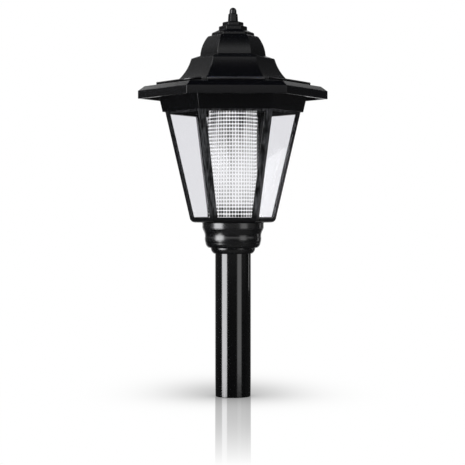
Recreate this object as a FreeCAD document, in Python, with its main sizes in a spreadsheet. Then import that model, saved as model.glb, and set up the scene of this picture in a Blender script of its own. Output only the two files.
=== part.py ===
import FreeCAD, Part
import math
import os
import re

import Sketcher

# A six-sided garden lantern in the victorian street-lamp style, on a short pole.
# The frame stands on the centre of the pole's lower end, with +Z up.
# Corners of the lantern point along +X and -X, a flat side faces -Y.
# All lengths are in millimetres, angles in degrees.
# "flat" is the distance from the upright axis to a flat side of a hexagon.

SIZES = {
    # pole and neck
    "pole_diameter": 25.0,
    "pole_wall": 1.2,
    "pole_shown": 99.2,
    "pole_edge": 0.4,
    "pole_socket_depth": 14.0,
    "slide_clearance": 0.1,
    "neck_stop": 2.0,
    "neck_drain_radius": 3.0,
    "neck_wall": 1.5,
    "neck_ring_wall": 2.9,
    "neck_ring_height": 4.1,
    "neck_ring_round_in": 1.45,
    "neck_ring_round_rise": 2.05,
    "neck_bowl_low_radius": 17.1,
    "neck_bowl_radius": 19.15,
    "neck_bowl_curve": 4.2,
    "neck_bowl_rise": 3.3,
    "neck_waist_rise": 4.6,
    "neck_waist_radius": 19.55,
    "neck_crease_radius": 21.2,
    "neck_crease_rise": 5.0,
    "neck_flare_curve": 9.0,
    "neck_band_rise": 3.0,
    "neck_top_radius": 21.7,
    "neck_height": 21.6,
    # screws
    "fit_clearance": 0.15,
    "thread_clearance": 0.03,
    "hole_clearance": 0.2,
    "small_screw_radius": 1.1,
    "small_head_radius": 2.1,
    "small_head_height": 1.1,
    "small_screw_length": 7.0,
    "screw_recess_depth": 0.7,
    "screw_recess_width": 0.6,
    "boss_wall": 1.6,
    "boss_floor": 0.5,
    "neck_screw_circle": 8.0,
    # cage
    "face_angle": 11.32,
    "cage_foot_flat": 25.41,
    "cage_foot_round": 2.9,
    "cage_wall": 2.5,
    "cage_floor": 2.0,
    "cage_sill": 3.5,
    "cage_height": 84.5,
    "cage_rail": 9.1,
    "cage_core_flat": 4.0,
    "post_width": 3.5,
    "pane_thickness": 1.2,
    "pane_overlap": 1.5,
    "collar_boss_inset": 2.43,
    "collar_boss_height": 6.0,
    # diffuser
    "diffuser_radius": 17.8,
    "diffuser_wall": 1.5,
    "diffuser_gap": 2.0,
    "diffuser_spigot_height": 4.0,
    "diffuser_spigot_wall": 1.5,
    "flute_depth": 0.4,
    "ring_depth": 0.4,
    "flute_count": 54,
    "ring_count": 32,
    # top collar
    "collar_skirt": 7.7,
    "collar_wall": 1.73,
    "collar_flange": 3.7,
    "collar_flange_width": 8.33,
    # roof
    "roof_wall": 2.0,
    "brim_flat": 57.29,
    "fascia_drop": 2.2,
    "fascia_height": 5.5,
    "chamfer_width": 4.03,
    "chamfer_rise": 3.3,
    "brim_rise": 2.7,
    "ogee_foot_flat": 34.03,
    "ogee_lip": 0.7,
    "ogee_curve": 31.6,
    "ogee_rise": 14.9,
    "ogee_top_flat": 25.46,
    "shoulder_in": 0.43,
    "shoulder_rise": 0.9,
    "shelf_rise": 1.9,
    "dome_foot_flat": 19.83,
    "dome_curve": 26.0,
    "dome_rise": 13.1,
    "dome_top_flat": 15.55,
    "dome_round_in": 0.8,
    "dome_round_rise": 0.65,
    "step_ledge": 0.4,
    "step_three_flat": 12.9,
    "step_three_rise": 1.0,
    "step_three_round": 1.3,
    "step_three_slope": 1.6,
    "step_two_flat": 8.6,
    "step_two_rise": 1.9,
    "step_two_round": 0.7,
    "step_one_flat": 6.4,
    "step_one_rise": 1.8,
    "step_one_round": 0.7,
    "finial_flat": 3.15,
    "finial_taper": 0.3,
    "finial_rise": 5.1,
    "finial_neck": 0.45,
    "finial_tip_radius": 2.55,
    "finial_tip_taper": 0.15,
    "finial_tip_rise": 2.2,
    "finial_tip_round": 2.0,
    "roof_core_radius": 1.6,
    "gasket_rib": 1.6,
    # solar panels
    "panel_length": 38.0,
    "panel_margin": 2.87,
    "panel_thickness": 1.8,
    "panel_recess": 1.0,
    "panel_shift": 0.25,
    "panel_bevel": 0.4,
    "wire_radius": 0.6,
    "bus_radius": 0.8,
    # underplate
    "plate_thickness": 2.0,
    "spigot_depth": 6.0,
    "spigot_wall": 1.8,
    "gasket_thickness": 1.2,
    "gasket_width": 2.6,
    "base_screw_circle": 27.5,
    "base_boss_height": 11.5,
    # battery
    "battery_diameter": 10.5,
    "battery_length": 44.5,
    "battery_shift": 2.0,
    "battery_offset": 11.5,
    "battery_tip_radius": 2.4,
    "battery_tip": 1.0,
    "contact_thickness": 0.4,
    "contact_inset": 0.5,
    "contact_headroom": 2.43,
    "holder_wall": 1.5,
    "holder_width": 8.0,
    "holder_drop": 0.6,
    "spring_length": 4.0,
    "spring_radius": 3.2,
    "spring_wire": 0.3,
    "spring_turns": 3.0,
    "door_step": 1.2,
    "door_plate": 1.0,
    "door_tab_width": 7.0,
    "door_tab_reach": 6.2,
    "door_screw_inset": 7.25,
    # board, light and switch
    "board_length": 24.0,
    "board_width": 21.0,
    "board_thickness": 1.2,
    "board_height": 4.0,
    "board_centre": -8.4,
    "board_shift": -1.0,
    "board_post_radius": 2.3,
    "board_post_reach": 10.0,
    "chip_length": 4.0,
    "chip_width": 2.5,
    "chip_height": 1.4,
    "chip_place": 2.75,
    "coil_radius": 1.6,
    "coil_height": 4.0,
    "coil_shift": 4.0,
    "coil_place": 6.0,
    "led_radius": 2.5,
    "led_flange": 0.4,
    "led_flange_height": 1.0,
    "led_length": 7.6,
    "led_lead_radius": 0.25,
    "led_lead_pitch": 2.54,
    "switch_length": 9.0,
    "switch_width": 5.0,
    "switch_place": -13.5,
    "switch_travel": 2.0,
    "slider_length": 3.9,
    "slider_width": 2.2,
    "slider_height": 1.6,
    "knob_length": 1.8,
    "knob_width": 1.6,
    "knob_reach": 0.8,
}

# Places that follow from the sizes, written as formulas of them.
PLACES = {
    "pole_radius": "pole_diameter / 2",
    "pole_bore": "pole_radius - pole_wall",
    "socket_bore": "pole_radius + slide_clearance",
    "neck_ring_radius": "socket_bore + neck_ring_wall",
    "cage_seat": "pole_shown + neck_height",
    "collar_seat": "cage_seat + collar_place",
    "cap_seat": "cage_seat + cage_height + collar_flange",
    "boss_radius": "small_screw_radius + boss_wall",
    "pilot_radius": "small_screw_radius + thread_clearance",
    "cage_foot_corner": "cage_foot_flat / cos(30)",
    "cage_top_flat": "cage_foot_flat + cage_height * tan(face_angle)",
    "cage_inner_corner": "(cage_top_flat - cage_wall / cos(face_angle)) / cos(30)",
    "window_top": "cage_height - cage_rail",
    "collar_place": "cage_height - collar_skirt",
    "collar_mouth_flat": "cage_top_flat - collar_flange_width",
    "collar_screw_circle": "cage_inner_corner - collar_boss_inset",
    "diffuser_height": "cage_height + collar_flange - cage_floor - diffuser_gap",
    "pane_depth": "cage_wall - pane_thickness",
    "pane_low": "(cage_floor - pane_depth * sin(face_angle)) / cos(face_angle)",
    "pane_high": "window_top / cos(face_angle) + pane_overlap",
    "spigot_ring_radius": "diffuser_radius - diffuser_wall - slide_clearance",
    "fascia_top": "fascia_height - fascia_drop",
    "brim_edge_flat": "brim_flat - chamfer_width",
    "brim_edge_top": "fascia_top + chamfer_rise",
    "brim_top": "brim_edge_top + brim_rise",
    "brim_angle": "atan(brim_rise / (brim_edge_flat - ogee_foot_flat))",
    "chamfer_angle": "atan(chamfer_rise / chamfer_width)",
    "inner_flat": "brim_flat - roof_wall",
    "inner_chamfer_low": "fascia_top + roof_wall * tan(chamfer_angle) - roof_wall / cos(chamfer_angle)",
    "rib_out": "inner_flat - gasket_rib",
    "rib_in": "inner_flat - 2 * gasket_rib",
    "rib_top": "inner_chamfer_low + gasket_rib * tan(chamfer_angle)",
    "inner_brim_edge": "brim_edge_top - roof_wall",
    "ogee_foot": "brim_top + ogee_lip",
    "ogee_top": "ogee_foot + ogee_rise",
    "shoulder_top": "ogee_top + shoulder_rise",
    "shoulder_flat": "ogee_top_flat - shoulder_in",
    "dome_foot": "shoulder_top + shelf_rise",
    "dome_top": "dome_foot + dome_rise",
    "dome_cap_flat": "dome_top_flat - dome_round_in",
    "dome_cap": "dome_top + dome_round_rise",
    "step_three_foot": "dome_cap + step_ledge",
    "step_three_top": "step_three_foot + step_three_rise + step_three_round",
    "step_two_foot": "step_three_top + step_three_slope",
    "step_two_top": "step_two_foot + step_two_rise + step_two_round",
    "step_one_foot": "step_two_top + step_ledge",
    "step_one_top": "step_one_foot + step_one_rise + step_one_round",
    "finial_foot": "step_one_top + step_ledge",
    "finial_top": "finial_foot + finial_rise",
    "roof_core_foot": "dome_top - roof_wall + 1",
    "gasket_top": "plate_thickness + gasket_thickness",
    "underplate_flat": "inner_flat - fit_clearance",
    "spigot_flat": "collar_mouth_flat - fit_clearance",
    "panel_width": "brim_edge_flat - ogee_foot_flat - 2 * panel_margin",
    "panel_flat": "(brim_edge_flat + ogee_foot_flat) / 2 + panel_shift",
    "panel_height": "brim_edge_top + (brim_edge_flat - panel_flat) * tan(brim_angle)",
    "panel_under": "panel_height - panel_recess",
    "battery_radius": "battery_diameter / 2",
    "contact_width": "holder_width - 2 * contact_inset",
    "battery_axis": "plate_thickness + battery_radius + fit_clearance",
    "battery_plus": "battery_shift + battery_length / 2",
    "battery_minus": "battery_plus - battery_length",
    "plus_wall": "battery_plus + battery_tip + contact_thickness",
    "minus_wall": "battery_minus - spring_length - contact_thickness",
    "contact_corner": "plus_wall * cos(30) + (battery_offset + contact_width / 2) * sin(30)",
    "skirt_slope": "ogee_rise / (ogee_foot_flat - ogee_top_flat)",
    "skirt_over_contact": "ogee_foot - roof_wall / 2 + (ogee_foot_flat - roof_wall - contact_corner) * skirt_slope",
    "contact_height": "skirt_over_contact - contact_headroom - plate_thickness",
    "holder_height": "contact_height - holder_drop",
    "door_screw_place": "battery_plus - door_screw_inset",
    "board_low": "plate_thickness + board_height",
    "board_high": "board_low + board_thickness",
}

SIDES = 6

doc = FreeCAD.newDocument("lantern")


def formula(text):
    """Spell out the places in a formula and point its sizes at the sheet."""
    def spelled(match):
        word = match.group(0)
        if word in PLACES:
            return "(" + formula(PLACES[word]) + ")"
        if word in SIZES:
            return "sizes." + word
        return word
    return re.sub(r"[a-z][a-z_0-9]*", spelled, str(text))


def bind(thing, places):
    """Bind properties of one object to formulas of the sheet's sizes."""
    for path, text in places.items():
        thing.setExpression(path, formula(text))


def value(text):
    """Work out a formula with the sizes as they stand now."""
    result = sheet.evalExpression(formula(text))
    return float(getattr(result, "Value", result))


def write_sheet():
    """Put every size in a cell of its own, with its name as alias."""
    table = doc.addObject("Spreadsheet::Sheet", "sizes")
    for row, (name, number) in enumerate(SIZES.items(), start=1):
        table.set("A%d" % row, name)
        table.set("B%d" % row, str(number))
        table.setAlias("B%d" % row, name)
    doc.recompute()
    return table


def new_body(label, height="0", turn=0):
    """Start a body whose own origin stands at a height on the lantern's axis."""
    body = doc.addObject("PartDesign::Body", label)
    body.Label = label
    body.AllowCompound = True
    body.Placement.Rotation = FreeCAD.Rotation(FreeCAD.Vector(0, 0, 1), turn)
    bind(body, {"Placement.Base.z": height})
    return body


def new_sketch(body, name, role):
    """Lay an empty sketch on one of the body's own origin planes."""
    drawing = body.newObject("Sketcher::SketchObject", name)
    plane = next(item for item in body.Origin.OriginFeatures if item.Role == role)
    drawing.AttachmentSupport = [(plane, "")]
    drawing.MapMode = "FlatFace"
    return drawing


def arc_between(start, end, radius, turn):
    """Shorter arc from start to end, turning "left" or "right" on the way."""
    step = end - start
    across = FreeCAD.Vector(-step.y, step.x, 0).normalize()
    reach = math.sqrt(max(radius ** 2 - step.Length ** 2 / 4, 0))
    side = 1 if turn == "left" else -1
    centre = (start + end) * 0.5 + across * (reach * side)
    first, last = (start, end) if turn == "left" else (end, start)
    low = math.atan2(first.y - centre.y, first.x - centre.x)
    high = math.atan2(last.y - centre.y, last.x - centre.x)
    if high < low:
        high += 2 * math.pi
    return Part.ArcOfCircle(Part.Circle(centre, FreeCAD.Vector(0, 0, 1), radius), low, high)


def outline(drawing, corners):
    """Draw a closed outline through corners given as formulas.

    A corner is (across, up) where a straight edge arrives, or
    (across, up, radius, turn) where an arc arrives.
    """
    points = [FreeCAD.Vector(value(c[0]), value(c[1]), 0) for c in corners]
    base = drawing.GeometryCount
    edges = []
    ends = []
    for index, corner in enumerate(corners):
        start, end = points[index - 1], points[index]
        if len(corner) == 2:
            edges.append(Part.LineSegment(start, end))
            ends.append((1, 2))
        else:
            edges.append(arc_between(start, end, value(corner[2]), corner[3]))
            ends.append((1, 2) if corner[3] == "left" else (2, 1))
    drawing.addGeometry(edges, False)
    rules = []
    texts = []
    for index, corner in enumerate(corners):
        edge, following = base + index, base + (index + 1) % len(corners)
        end, start = ends[index][1], ends[(index + 1) % len(corners)][0]
        rules.append(Sketcher.Constraint("Coincident", edge, end, following, start))
        texts.append(None)
        rules.append(Sketcher.Constraint("DistanceX", -1, 1, edge, end, points[index].x))
        texts.append(corner[0])
        rules.append(Sketcher.Constraint("DistanceY", -1, 1, edge, end, points[index].y))
        texts.append(corner[1])
        if len(corner) > 2:
            rules.append(Sketcher.Constraint("Radius", edge, value(corner[2])))
            texts.append(corner[2])
    hold(drawing, rules, texts)


def circle(drawing, across, up, radius):
    """Draw one circle whose centre and radius are formulas."""
    edge = drawing.GeometryCount
    centre = FreeCAD.Vector(value(across), value(up), 0)
    round_edge = Part.Circle(centre, FreeCAD.Vector(0, 0, 1), value(radius))
    drawing.addGeometry(round_edge, False)
    rules = [
        Sketcher.Constraint("DistanceX", -1, 1, edge, 3, centre.x),
        Sketcher.Constraint("DistanceY", -1, 1, edge, 3, centre.y),
        Sketcher.Constraint("Radius", edge, value(radius)),
    ]
    hold(drawing, rules, [across, up, radius])


def hold(drawing, rules, texts):
    """Add constraints and bind the ones that have a formula."""
    first = drawing.ConstraintCount
    drawing.addConstraint(rules)
    for index, text in enumerate(texts):
        if text is not None:
            drawing.setExpression("Constraints[%d]" % (first + index), formula(text))


def rectangle(x_low, x_high, y_low, y_high):
    """Four corners of a rectangle, counter-clockwise."""
    return [(x_low, y_low), (x_high, y_low), (x_high, y_high), (x_low, y_high)]


def hexagon(flat):
    """Six corners of a hexagon, two of them on the X axis."""
    return [
        ("-(%s) * tan(30)" % flat, flat),
        ("-(%s) / cos(30)" % flat, "0"),
        ("-(%s) * tan(30)" % flat, "-(%s)" % flat),
        ("(%s) * tan(30)" % flat, "-(%s)" % flat),
        ("(%s) / cos(30)" % flat, "0"),
        ("(%s) * tan(30)" % flat, flat),
    ]


def extrude(body, kind, drawing, length, up=True):
    """Pad or pocket a sketch by a length, along or against its normal."""
    feature = body.newObject("PartDesign::" + kind, drawing.Name + "_" + kind.lower())
    feature.Profile = drawing
    bind(feature, {"Length": length})
    feature.Reversed = (kind == "Pad") != up
    return feature


def plate(body, name, corners, low, height, kind="Pad"):
    """Pad or pocket a flat outline, or a circle, upwards from a height."""
    drawing = new_sketch(body, name, "XY_Plane")
    bind(drawing, {"AttachmentOffset.Base.z": low})
    for shape in corners:
        if isinstance(shape, list):
            outline(drawing, shape)
        else:
            circle(drawing, *shape)
    return extrude(body, kind, drawing, height)


def ring_of_six_sides(body, name, section):
    """Sweep a section, drawn in flat distance and height, round the six sides."""
    path = new_sketch(body, name + "_path", "XY_Plane")
    outline(path, hexagon("ogee_foot_flat") + [("0", "ogee_foot_flat")])
    drawing = new_sketch(body, name + "_section", "YZ_Plane")
    outline(drawing, section)
    sweep = body.newObject("PartDesign::AdditivePipe", name)
    sweep.Profile = drawing
    sweep.Spine = (path, ["Edge%d" % (k + 1) for k in range(7)])
    sweep.Transition = "Right corner"
    sweep.Mode = "Standard"
    return sweep


def spun(body, name, section, circle_radius="0", role="XZ_Plane", kind="Revolution"):
    """Turn a section (radius, height) about an upright line on a pitch circle."""
    drawing = new_sketch(body, name, role)
    moved = [("%s + (%s)" % (circle_radius, corner[0]),) + tuple(corner[1:]) for corner in section]
    outline(drawing, moved)
    edge = drawing.GeometryCount
    place = value(circle_radius)
    axis = Part.LineSegment(FreeCAD.Vector(place, 0, 0), FreeCAD.Vector(place, 1, 0))
    drawing.addGeometry(axis, True)
    rules = [
        Sketcher.Constraint("DistanceX", -1, 1, edge, 1, place),
        Sketcher.Constraint("DistanceX", -1, 1, edge, 2, place),
        Sketcher.Constraint("DistanceY", -1, 1, edge, 1, 0),
        Sketcher.Constraint("DistanceY", -1, 1, edge, 2, 1),
    ]
    hold(drawing, rules, [circle_radius, circle_radius, None, None])
    feature = body.newObject("PartDesign::" + kind, name + "_turn")
    feature.Profile = drawing
    feature.ReferenceAxis = (drawing, ["Axis0"])
    feature.Angle = 360
    return feature


def around(body, name, features, count):
    """Repeat features evenly round the body's upright axis."""
    pattern = body.newObject("PartDesign::PolarPattern", name)
    pattern.Originals = features
    axis = next(item for item in body.Origin.OriginFeatures if item.Role == "Z_Axis")
    pattern.Axis = (axis, [""])
    pattern.Angle = 360
    if isinstance(count, str):
        bind(pattern, {"Occurrences": count})
    else:
        pattern.Occurrences = count
    body.Tip = pattern
    return pattern


def screw_section(top, clearance="0", length="small_screw_length"):
    """Half section of a countersunk screw whose head is flush at a height."""
    tip = "(%s) - (%s)" % (top, length)
    return [
        ("0", tip),
        ("small_screw_radius + (%s) - 0.5" % clearance, tip),
        ("small_screw_radius + (%s)" % clearance, tip + " + 0.8"),
        ("small_screw_radius + (%s)" % clearance, "(%s) - small_head_height" % top),
        ("small_head_radius + (%s)" % clearance, "%s" % top),
        ("0", "%s" % top),
    ]


def countersink(body, name, top, depth, circle_radius, role, up=True):
    """Cut a countersunk clearance hole whose head seat is flush at a height."""
    way = "-" if up else "+"
    radius = "small_screw_radius + hole_clearance"
    head = "small_head_radius + hole_clearance"
    section = [
        ("0", "(%s) %s (%s)" % (top, way, depth)),
        (radius, "(%s) %s (%s)" % (top, way, depth)),
        (radius, "(%s) %s small_head_height" % (top, way)),
        (head, "(%s)" % top),
        ("0", "(%s)" % top),
    ]
    if not up:
        section.reverse()
    return spun(body, name, section, circle_radius, role, "Groove")


def cross(centre_x, centre_y):
    """Twelve corners of the cross recess in a screw head."""
    half = "screw_recess_width / 2"
    arm = "small_head_radius * 0.6"
    plan = [
        (half, arm), ("-" + half, arm), ("-" + half, half), ("-" + arm, half),
        ("-" + arm, "-" + half), ("-" + half, "-" + half), ("-" + half, "-" + arm),
        (half, "-" + arm), (half, "-" + half), (arm, "-" + half), (arm, half), (half, half),
    ]
    return [("%s + %s" % (centre_x, x), "%s + %s" % (centre_y, y)) for x, y in plan]


def screws(label, seat, top, circle_radius, role, count, up=True):
    """One set of alike countersunk screws on a pitch circle."""
    body = new_body(label, seat)
    section = screw_section("0")
    if up:
        section = [(r, "(%s) + (%s)" % (top, height)) for r, height in section]
    else:
        section = [(r, "(%s) - (%s)" % (top, height)) for r, height in reversed(section)]
    turned = spun(body, label + "_shank", section, circle_radius, role)
    middle = (circle_radius, "0") if role == "XZ_Plane" else ("0", circle_radius)
    low = "(%s) - screw_recess_depth" % top if up else top
    recess = plate(body, label + "_cross", [cross(*middle)], low, "screw_recess_depth", "Pocket")
    if count > 1:
        around(body, label + "_set", [turned, recess], count)
    return body


def cage_flat(height):
    """Flat distance of the cage's outer faces at a height above its foot."""
    return "cage_foot_flat + (%s) * tan(face_angle)" % height


def face_sketch(body, name, depth, corners):
    """Outline on the front face of the cage, at a depth behind its surface."""
    drawing = new_sketch(body, name, "XZ_Plane")
    drawing.AttachmentOffset = FreeCAD.Placement(
        FreeCAD.Vector(0, 0, 0), FreeCAD.Rotation(FreeCAD.Vector(1, 0, 0), 1.0))
    bind(drawing, {
        "AttachmentOffset.Base.y": "(%s) * sin(face_angle)" % depth,
        "AttachmentOffset.Base.z": "cage_foot_flat - (%s) * cos(face_angle)" % depth,
        "AttachmentOffset.Rotation.Angle": "face_angle",
    })
    outline(drawing, corners)
    return drawing


def window_corners(low, high, inset):
    """Trapezium on a cage face between two slant heights, inset from its corners."""
    def half(slant):
        return "(cage_foot_corner + (%s) * sin(face_angle) / cos(30)) / 2 - (%s)" % (slant, inset)
    return [
        ("-(%s)" % half(low), low),
        (half(low), low),
        (half(high), high),
        ("-(%s)" % half(high), high),
    ]


def make_pole():
    """Round tube with slightly broken edges."""
    body = new_body("pole")
    spun(body, "pole_wall_section", [
        ("pole_bore", "0"),
        ("pole_radius - pole_edge", "0"),
        ("pole_radius", "pole_edge"),
        ("pole_radius", "pole_shown + pole_socket_depth - pole_edge"),
        ("pole_radius - pole_edge", "pole_shown + pole_socket_depth"),
        ("pole_bore", "pole_shown + pole_socket_depth"),
    ])


def make_neck():
    """Moulded neck: socket for the pole, bowl, and three bosses for its screws."""
    body = new_body("neck_socket", "pole_shown")
    bowl_top = "neck_ring_height + neck_bowl_rise"
    waist = bowl_top + " + neck_waist_rise"
    crease = waist + " + neck_crease_rise"
    cavity = "socket_bore + neck_wall"
    ring_round = "(neck_ring_round_in ^ 2 + neck_ring_round_rise ^ 2) / (2 * neck_ring_round_in)"
    spun(body, "neck_section", [
        ("neck_drain_radius", "pole_socket_depth + neck_stop"),
        ("neck_drain_radius", "pole_socket_depth"),
        ("socket_bore", "pole_socket_depth"),
        ("socket_bore", "pole_edge"),
        ("socket_bore + pole_edge", "0"),
        ("neck_ring_radius - neck_ring_round_in", "0"),
        ("neck_ring_radius", "neck_ring_round_rise", ring_round, "left"),
        ("neck_ring_radius", "neck_ring_height"),
        ("neck_bowl_low_radius", "neck_ring_height"),
        ("neck_bowl_radius", bowl_top, "neck_bowl_curve", "left"),
        ("neck_waist_radius", waist),
        ("neck_crease_radius", crease, "neck_flare_curve", "right"),
        ("neck_crease_radius - 0.25", crease + " + 0.25"),
        ("neck_crease_radius", crease + " + 0.5"),
        ("neck_crease_radius", crease + " + neck_band_rise"),
        ("neck_top_radius", "neck_height - 0.4"),
        ("neck_top_radius", "neck_height"),
        ("neck_crease_radius - neck_wall", "neck_height"),
        ("neck_crease_radius - neck_wall", crease),
        ("neck_waist_radius - neck_wall", waist),
        ("neck_bowl_low_radius", bowl_top),
        (cavity, bowl_top),
        (cavity, "neck_height"),
        ("socket_bore", "neck_height"),
        ("socket_bore", "pole_socket_depth + neck_stop"),
    ])
    boss = plate(body, "neck_boss", [("neck_screw_circle", "0", "boss_radius")],
                 "pole_socket_depth + neck_stop / 2", "neck_height - pole_socket_depth - neck_stop / 2")
    pilot = plate(body, "neck_pilot", [("neck_screw_circle", "0", "pilot_radius")],
                  "pole_socket_depth + boss_floor", "neck_height", "Pocket")
    around(body, "neck_bosses", [boss, pilot], 3)
    screws("neck_screws", "cage_seat", "cage_floor", "neck_screw_circle", "XZ_Plane", 3)


def make_cage():
    """Tapered cage with floor, windows, pane rebates and screw bosses."""
    body = new_body("cage_frame", "cage_seat")
    inner = "cage_wall / cos(face_angle)"
    ring_of_six_sides(body, "cage_shell", [
        ("cage_core_flat", "0"),
        ("cage_foot_flat - cage_foot_round", "0"),
        ("cage_foot_flat + cage_foot_round * sin(face_angle)", "cage_foot_round * cos(face_angle)",
         "cage_foot_round / tan(45 - face_angle / 2)", "left"),
        (cage_flat("cage_height"), "cage_height"),
        (cage_flat("cage_height") + " - " + inner, "cage_height"),
        (cage_flat("cage_floor") + " - " + inner, "cage_floor"),
        ("cage_core_flat", "cage_floor"),
    ])
    plate(body, "cage_centre", [("0", "0", "cage_core_flat * 1.5")], "0", "cage_floor")
    plate(body, "diffuser_seat", [
        ("0", "0", "spigot_ring_radius"),
        ("0", "0", "spigot_ring_radius - diffuser_spigot_wall"),
    ], "cage_floor", "diffuser_spigot_height")
    window = face_sketch(body, "window", "0", window_corners(
        "cage_sill / cos(face_angle)", "window_top / cos(face_angle)", "post_width"))
    opening = extrude(body, "Pocket", window, "cage_wall + 0.5", up=False)
    rebate = face_sketch(body, "rebate", "pane_depth", window_corners(
        "pane_low", "pane_high + slide_clearance", "post_width - pane_overlap"))
    recess = extrude(body, "Pocket", rebate, "pane_thickness + 0.5", up=False)
    around(body, "windows", [opening, recess], SIDES)
    boss = plate(body, "collar_boss", [("collar_screw_circle", "0", "boss_radius")],
                 "cage_height - collar_boss_height", "collar_boss_height")
    pilot = plate(body, "collar_pilot", [("collar_screw_circle", "0", "pilot_radius")],
                  "cage_height - collar_boss_height + boss_floor", "cage_height", "Pocket")
    around(body, "collar_bosses", [boss, pilot], SIDES)
    neck_hole = countersink(body, "neck_hole", "cage_floor", "cage_floor", "neck_screw_circle", "XZ_Plane")
    around(body, "neck_holes", [neck_hole], 3)


def make_panes():
    """Six clear panes, each dropped in the rebate behind its window."""
    for number in range(SIDES):
        label = "pane_%d" % (number + 1)
        body = new_body(label, "cage_seat", 360 * number / SIDES)
        drawing = face_sketch(body, label + "_face", "pane_depth", window_corners(
            "pane_low + slide_clearance", "pane_high", "post_width - pane_overlap + slide_clearance"))
        extrude(body, "Pad", drawing, "pane_thickness", up=False)


def make_diffuser():
    """Clear tube with upright flutes outside and rings inside."""
    body = new_body("diffuser", "cage_seat + cage_floor")
    bore = "diffuser_radius - diffuser_wall"
    pitch = "(diffuser_height - 2 * diffuser_spigot_height) / ring_count"
    spun(body, "diffuser_wall_section", [
        (bore, "0"),
        ("diffuser_radius", "0"),
        ("diffuser_radius", "diffuser_height"),
        (bore, "diffuser_height"),
    ])
    groove = spun(body, "ring_groove", [
        (bore + " - 0.2", "2 * diffuser_spigot_height - ring_depth"),
        (bore + " + ring_depth", "2 * diffuser_spigot_height"),
        (bore + " - 0.2", "2 * diffuser_spigot_height + ring_depth"),
    ], kind="Groove")
    rings = body.newObject("PartDesign::LinearPattern", "rings")
    rings.Originals = [groove]
    axis = next(item for item in body.Origin.OriginFeatures if item.Role == "Z_Axis")
    rings.Direction = (axis, [""])
    bind(rings, {"Occurrences": "ring_count - 1", "Length": pitch + " * (ring_count - 2)"})
    body.Tip = rings
    flute = new_sketch(body, "flute", "XY_Plane")
    half = "diffuser_radius * sin(180 / flute_count) * 0.9"
    outline(flute, [
        ("diffuser_radius - flute_depth", "0"),
        ("diffuser_radius + 0.2", "-" + half),
        ("diffuser_radius + 0.2", half),
    ])
    cut = extrude(body, "Pocket", flute, "diffuser_height")
    around(body, "flutes", [cut], "flute_count")


def make_collar():
    """Six-sided band over the cage's rail, with the mouth that takes the cap."""
    body = new_body("top_collar", "collar_seat")
    low = cage_flat("collar_place")
    top = cage_flat("cage_height + collar_flange")
    rail = "cage_height - collar_place"
    ring_of_six_sides(body, "collar_band", [
        ("collar_mouth_flat", rail),
        (cage_flat("cage_height") + " + fit_clearance", rail),
        (low + " + fit_clearance", "0"),
        (low + " + collar_wall", "0"),
        (top + " + collar_wall", rail + " + collar_flange"),
        ("collar_mouth_flat", rail + " + collar_flange"),
    ])
    hole = countersink(body, "collar_hole", rail + " + collar_flange", "collar_flange",
                       "collar_screw_circle", "XZ_Plane")
    around(body, "collar_holes", [hole], SIDES)
    screws("collar_screws", "cap_seat", "0", "collar_screw_circle", "XZ_Plane", SIDES)


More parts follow.
